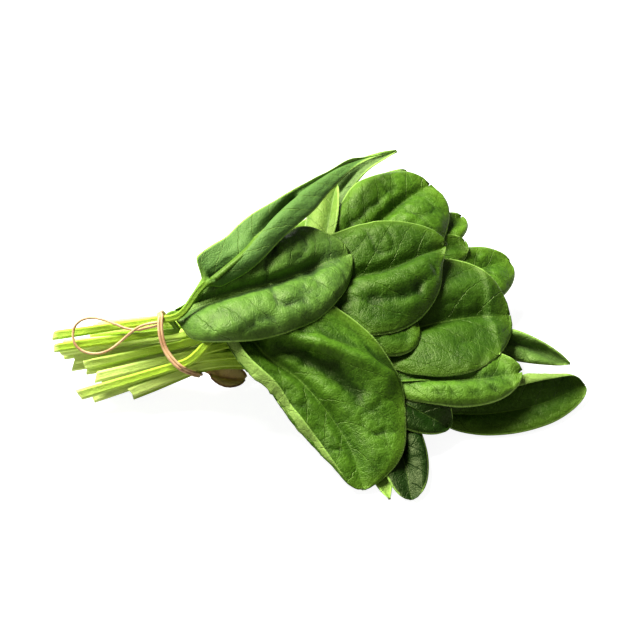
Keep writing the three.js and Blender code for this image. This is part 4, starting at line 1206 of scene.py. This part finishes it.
def veins_group():
    """Side veins, the net of small veins between them, and the height of both."""
    group, make, given, out = new_group(
        "leaf veins",
        [("Sheet", "Vector"), ("Vein Width", "Float"), ("Net Size", "Float")],
        [("Side Veins", "Float"), ("Net", "Float"), ("Height", "Float")])
    parts = make.node("SeparateXYZ", Vector=given["Sheet"]).outputs
    flat = make.node("CombineXYZ", X=parts["X"], Y=parts["Y"]).outputs[0]
    wander = make.times(make.math("SUBTRACT", make.noise(flat, 0.35), 0.5), VEIN_WANDERING)
    away = make.math("PINGPONG", make.plus(parts["Z"], wander), 0.5)
    past_midrib = make.ramp(make.math("ABSOLUTE", parts["X"]), 0.3, 2.0)
    side = make.times(make.ramp(away, given["Vein Width"], 0.0), past_midrib)
    nets = []
    for finer, wide in NET_LAYERS:
        cells = make.node("TexVoronoi", {"feature": "DISTANCE_TO_EDGE", "voronoi_dimensions": "2D"},
                          Vector=flat, Scale=make.math("DIVIDE", finer, given["Net Size"]))
        nets.append(make.ramp(cells.outputs["Distance"], wide, 0.0))
    net = make.math("MAXIMUM", nets[0], make.times(nets[1], FINE_NET))
    make.feed(out["Side Veins"], side)
    make.feed(out["Net"], net)
    make.feed(out["Height"], make.plus(make.times(side, -1.0), make.times(net, -NET_RELIEF)))
    return group


MOTTLING = (("Patches", 0.07, 4), ("Blotches", 0.4, 4), ("Grain", 1.6, 3))    # scale and detail


def mottling_group():
    """Patches, blotches and fine grain in the colour of a skin, each from 0 to 1."""
    group, make, given, out = new_group(
        "mottling", [("Sheet", "Vector"), ("Seed", "Float")],
        [(label, "Float") for label, _, _ in MOTTLING])
    offset = make.node("CombineXYZ", X=given["Seed"], Y=given["Seed"]).outputs[0]
    moved = make.node("VectorMath", {"operation": "ADD"})
    make.feed(moved.inputs[0], given["Sheet"])
    make.feed(moved.inputs[1], offset)
    for label, scale, detail in MOTTLING:
        make.feed(out[label], make.ramp(make.noise(moved.outputs[0], scale, detail), 0.3, 0.7))
    return group


STREAKS_ACROSS = 2.4
STREAKS_ALONG = 0.05
PALE_FROM, PALE_TO = -60.0, -150.0         # along the stalk, from the base of the blade


def stalk_group():
    """Fine lengthwise streaks of a stalk, and how pale it is towards its cut end."""
    group, make, given, out = new_group(
        "stalk streaks", [("Sheet", "Vector"), ("Cut", "Float")],
        [("Streaks", "Float"), ("Pale", "Float")])
    parts = make.node("SeparateXYZ", Vector=given["Sheet"]).outputs
    drawn_out = make.node("CombineXYZ", X=make.times(parts["X"], STREAKS_ACROSS),
                          Y=make.times(parts["Y"], STREAKS_ALONG), Z=parts["Z"]).outputs[0]
    make.feed(out["Streaks"], make.ramp(make.noise(drawn_out, 1.0, 3), 0.3, 0.7))
    pale = make.ramp(parts["Y"], PALE_FROM, PALE_TO)
    make.feed(out["Pale"], make.math("MAXIMUM", pale, given["Cut"]))
    return group


# The colours of a leaf. Its upper side goes from dark to light with its tone, and its underside
# from under_deep to under. Both sides take painted shade in their hollows.
GREEN_LEAF = {
    "dark": (0.01, 0.04, 0.001, 1), "light": (0.07, 0.17, 0.008, 1), "painted_shade": (0.004, 0.018, 0.001, 1),
    "under": (0.21, 0.32, 0.06, 1), "under_deep": (0.065, 0.14, 0.03, 1),
    "vein": (0.16, 0.3, 0.03, 1), "rim": (0.25, 0.42, 0.07, 1),
    "stalk": (0.34, 0.52, 0.03, 1), "stalk_pale": (0.66, 0.8, 0.2, 1),
    "stalk_shade": (0.05, 0.13, 0.008, 1),
}
PALE_LEAF = {
    **GREEN_LEAF, "dark": (0.12, 0.25, 0.03, 1), "light": (0.3, 0.42, 0.07, 1),
    "under": (0.4, 0.52, 0.14, 1), "vein": (0.4, 0.55, 0.15, 1),
}
TAN = (0.9, 0.6, 0.27, 1)
BROWN = (0.6, 0.34, 0.12, 1)
DARK_BROWN = (0.22, 0.1, 0.04, 1)
WITHERED_LEAF = {
    "dark": BROWN, "light": TAN, "painted_shade": DARK_BROWN, "under": TAN, "under_deep": BROWN, "vein": TAN,
    "rim": DARK_BROWN, "stalk": BROWN, "stalk_pale": TAN, "stalk_shade": BROWN,
}
PAINTED_SHEEN = (0.08, 0.125, 0.045, 1)            # a painted greyish sheen on the lightest leaves
MARGIN_LIGHT = (0.11, 0.21, 0.012, 1)            # painted light: a lighter green towards the margin
VEIN_WIDTH = 0.035                         # of the way from one side vein to the next
NET_SIZE = 5.5
MARGIN_REACH = 9.0
RIM_FULL, RIM_REACH = 0.4, 1.15
SINKS, SUNK_FULLY = -0.2, -1.4             # how low the hollows are that get painted shade
# How much of each colour shows over the others, painted light on the ridges among them.
PATCHES, BLOTCHES, RIDGE_LIGHT = 0.5, 0.4, 0.4
GRAIN, NET, SIDE_VEINS, UNDER_VEINS, MIDRIB = 0.3, 0.07, 0.22, 0.12, 0.3
MARGIN_LIGHT_SHARE, RIM_SHARE, HOLLOW_SHADE_SHARE, PAINTED_SHEEN_SHARE = 0.45, 0.85, 0.75, 0.65
# the second is how much painted shade a stalk takes where it runs under the blades
STREAKS, STALK_SHADE_SHARE = 0.3, 0.8
SHEEN = 0.23
SHEEN_TINT = (0.85, 1, 0.35, 1)
SKIN_BUMP = {"Strength": 0.8, "Distance": 0.0005}


def upper_colour(make, colours, tone_and_lighting, relief, rim_way, veins, spots, hollow_shade):
    """The colour of a blade's upper side: mottled green with its veins, painted light on its ridges
    and towards its margin, painted shade in its hollows and on leaves of low tone, and a painted sheen
    on leaves of high tone.
    """
    share = make.plus(make.times(spots["Patches"], PATCHES),
                      make.times(spots["Blotches"], BLOTCHES))
    # painted light on the ridges of the relief
    share = make.plus(share, make.times(make.ramp(relief, -0.6, 0.8), RIDGE_LIGHT))
    share = make.times(make.math("SUBTRACT", share, 0.2), make.plus(tone_and_lighting, 0.45))
    colour = make.mix(share, colours["dark"], colours["light"])
    colour = make.tint(colour, spots["Grain"], GRAIN, colours["light"])
    colour = make.tint(colour, veins["Net"], NET, colours["vein"])
    colour = make.tint(colour, veins["Side Veins"], SIDE_VEINS, colours["vein"])
    # painted light towards the margin
    colour = make.tint(colour, make.ramp(rim_way, MARGIN_REACH, 0.0), MARGIN_LIGHT_SHARE, MARGIN_LIGHT)
    colour = make.mix(hollow_shade, colour, colours["painted_shade"])
    # painted shade on leaves of low tone, which lie in shadow
    colour = make.mix(make.ramp(tone_and_lighting, 0.6, -0.5), colour, colours["painted_shade"])
    # painted sheen on leaves of high tone
    return make.tint(colour, make.ramp(tone_and_lighting, 0.55, 1.0), PAINTED_SHEEN_SHARE, PAINTED_SHEEN)


def under_colour(make, colours, tone_and_lighting, veins, spots, hollow_shade):
    """The colour of a blade's underside, paler and with fainter veins, and with painted shade in its
    hollows.
    """
    colour = make.mix(tone_and_lighting, colours["under_deep"], colours["under"])
    colour = make.tint(colour, spots["Grain"], GRAIN, colours["light"])
    colour = make.mix(hollow_shade, colour, colours["painted_shade"])
    return make.tint(colour, veins["Side Veins"], UNDER_VEINS, colours["stalk"])


def stalk_colour(make, colours, sheet, streaks):
    """The colour of a stalk: pale at its cut end, streaked, and darkened with painted shade where it
    runs under the blades.
    """
    colour = make.mix(streaks["Pale"], colours["stalk"], colours["stalk_pale"])
    colour = make.tint(colour, streaks["Streaks"], STREAKS, colours["light"])
    way = make.node("SeparateXYZ", Vector=sheet).outputs["Y"]
    return make.tint(colour, make.ramp(way, -40.0, -6.0), STALK_SHADE_SHARE, colours["stalk_shade"])


def leaf_material(name, groups, colours, dullness=0.38, seed=0.0):
    """The skin of a whole leaf: its upper side, its underside, its midrib and its stalk."""
    material, make, skin = new_material(name)
    sheet = make.painted("sheet", "Vector")
    zone = make.painted("zone", "Vector")
    rim_way, blade, underside = make.node("SeparateXYZ", Vector=zone).outputs
    tone_and_lighting, relief = make.painted("tone_and_lighting"), make.painted("relief")
    veins = make.node("Group", {"node_tree": groups["veins"]}, Sheet=sheet, Vein_Width=VEIN_WIDTH,
                      Net_Size=NET_SIZE).outputs
    spots = make.node("Group", {"node_tree": groups["mottling"]}, Sheet=sheet, Seed=seed).outputs
    streaks = make.node("Group", {"node_tree": groups["stalk"]}, Sheet=sheet,
                        Cut=make.painted("cut")).outputs

    # painted shade in the hollows of the relief, on both sides of the blade
    hollow_shade = make.times(make.ramp(relief, SINKS, SUNK_FULLY), HOLLOW_SHADE_SHARE)
    upper = upper_colour(make, colours, tone_and_lighting, relief, rim_way, veins, spots, hollow_shade)
    lower = under_colour(make, colours, tone_and_lighting, veins, spots, hollow_shade)
    colour = make.mix(underside, upper, lower)
    on_rib, on_rim = make.ramp(make.painted("rib"), 1.0, 0.3), make.ramp(rim_way, RIM_REACH, RIM_FULL)
    colour = make.tint(colour, on_rib, MIDRIB, colours["vein"])
    colour = make.tint(colour, on_rim, RIM_SHARE, colours["rim"])
    colour = make.mix(blade, stalk_colour(make, colours, sheet, streaks), colour)
    make.feed(skin["Base Color"], colour)

    dull = make.plus(dullness, make.times(spots["Blotches"], 0.12))
    make.feed(skin["Roughness"], make.plus(dull, make.times(underside, 0.15)))
    height = make.plus(make.times(veins["Height"], blade), make.times(spots["Grain"], 0.2))
    height = make.plus(height, make.times(spots["Blotches"], 0.4))
    make.feed(skin["Normal"], make.node("Bump", Height=height, **SKIN_BUMP).outputs[0])
    skin["Specular IOR Level"].default_value = SHEEN
    skin["Specular Tint"].default_value = SHEEN_TINT
    return material


RUBBER_DARK = (0.36, 0.17, 0.06, 1)
RUBBER_TAN = (0.62, 0.38, 0.17, 1)
RUBBER_DUST = (0.72, 0.5, 0.28, 1)
RUBBER_PATCHES = 130
RUBBER_GRAIN = 1400
RUBBER_BUMP = {"Strength": 0.4, "Distance": 0.0002}


def rubber_material():
    """Natural rubber: tan, dull, dusty in patches and slightly uneven."""
    material, make, skin = new_material("natural rubber")
    spot = make.node("TexCoord").outputs["Object"]
    wide = make.ramp(make.noise(spot, RUBBER_PATCHES, 3), 0.3, 0.7)
    fine = make.ramp(make.noise(spot, RUBBER_GRAIN, 2), 0.3, 0.7)
    colour = make.tint(make.mix(wide, RUBBER_DARK, RUBBER_TAN), fine, 0.25, RUBBER_DUST)
    make.feed(skin["Base Color"], colour)
    make.feed(skin["Roughness"], make.plus(0.48, make.times(wide, 0.2)))
    make.feed(skin["Normal"], make.node("Bump", Height=fine, **RUBBER_BUMP).outputs[0])
    return material


# ---- floor and light ------------------------------------------------------------------------
FLOOR_SIZE = 8               # in metres
FLOOR_GREY = (0.36, 0.36, 0.36, 1)
FLOOR_DULLNESS = 0.9
FLOOR_SHEEN = 0.1
FLOOR_GLOW = 0.92            # it glows only for the camera, so that it is nearly white
WHITE = (1, 1, 1, 1)
STUDIO_GLOW = 0.16
LAMPS = (                    # which way it is, how far and how wide in metres, and its watts
    ("key light", (-0.42, 0.36, 0.82), 1.4, 0.7, 84),
    ("front light", (-0.5, -0.7, 0.5), 1.6, 1.2, 2),
)


def add_floor():
    bpy.ops.mesh.primitive_plane_add(size=FLOOR_SIZE)
    floor = bpy.context.object
    floor.name = "floor"
    material, make, surface = new_material("pale floor")
    surface["Base Color"].default_value = FLOOR_GREY
    surface["Roughness"].default_value = FLOOR_DULLNESS
    surface["Specular IOR Level"].default_value = FLOOR_SHEEN
    surface["Emission Color"].default_value = WHITE
    seen = make.node("LightPath").outputs["Is Camera Ray"]
    make.feed(surface["Emission Strength"], make.times(seen, FLOOR_GLOW))
    floor.data.materials.append(material)


def add_lights():
    world = bpy.data.worlds.new("studio")
    bpy.context.scene.world = world
    world.use_nodes = True
    background = world.node_tree.nodes["Background"].inputs
    background["Color"].default_value = WHITE
    background["Strength"].default_value = STUDIO_GLOW
    bpy.context.scene.view_settings.view_transform = "Standard"
    for name, way, away, size, power in LAMPS:
        light = bpy.data.lights.new(name, "AREA")
        light.size = size
        light.energy = power
        way = unit(np.array(way))
        side = unit(np.cross((0, 1, 0), way))
        stand(bpy.data.objects.new(name, light), side, np.cross(way, side), way, way * away)


# ---- the bunch ------------------------------------------------------------------------------
COARSE_CELL = 0.4            # of the map on which the sheets are laid, and of the fine one
FINE_CELL = 0.8
NOTHING_YET = -1000.0


def add_piece(name, mesh, material, node):
    mesh.materials.append(material)
    piece = bpy.data.objects.new(name, mesh)
    bpy.context.collection.objects.link(piece)
    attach(piece, "root")
    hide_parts(node)


def add_leaves(skins):
    """Lays the leaves on each other. Gives the places at which their stalks are in the band."""
    coarse_pile, fine_pile = Pile(COARSE_CELL), Pile(FINE_CELL)
    fine_pile.top[:] = NOTHING_YET
    in_band = []
    for number, spec in enumerate(LEAVES):
        leaf = Leaf(spec)
        sheet, halves, stiff, shares = leaf.coarse()
        held = leaf.tie_ring if leaf.row < TIE_ROWS - 1 else 0
        lift = settle(coarse_pile, sheet, halves, stiff, held)
        fine = FineLeaf(leaf, lift, shares, 100 * number)
        fine.lay_on(fine_pile)
        in_band.append(places_in_band(fine))
        material, slot = skins[spec.get("material", "leaf")]
        name = "spinach_" + spec["name"].removeprefix("leaf_")
        add_piece(name, leaf_mesh(fine, name), material, spec["name"])
    return np.concatenate(in_band)


add_camera()
rubber = rubber_material()
add_loose_loop(rubber)
add_floor()
add_lights()

GROUPS = {"veins": veins_group(), "mottling": mottling_group(), "stalk": stalk_group()}
SKINS = {
    "leaf": (leaf_material("leaf skin", GROUPS, GREEN_LEAF), "leaf"),
    "pale": (leaf_material("pale leaf skin", GROUPS, PALE_LEAF, seed=9), "leaf_pale"),
    "withered": (leaf_material("withered leaf skin", GROUPS, WITHERED_LEAF, 0.7, 21),
                 "leaf_withered"),
}
places = add_leaves(SKINS)
add_piece("band_turns", rubber_band(places), rubber, "rubber_band")
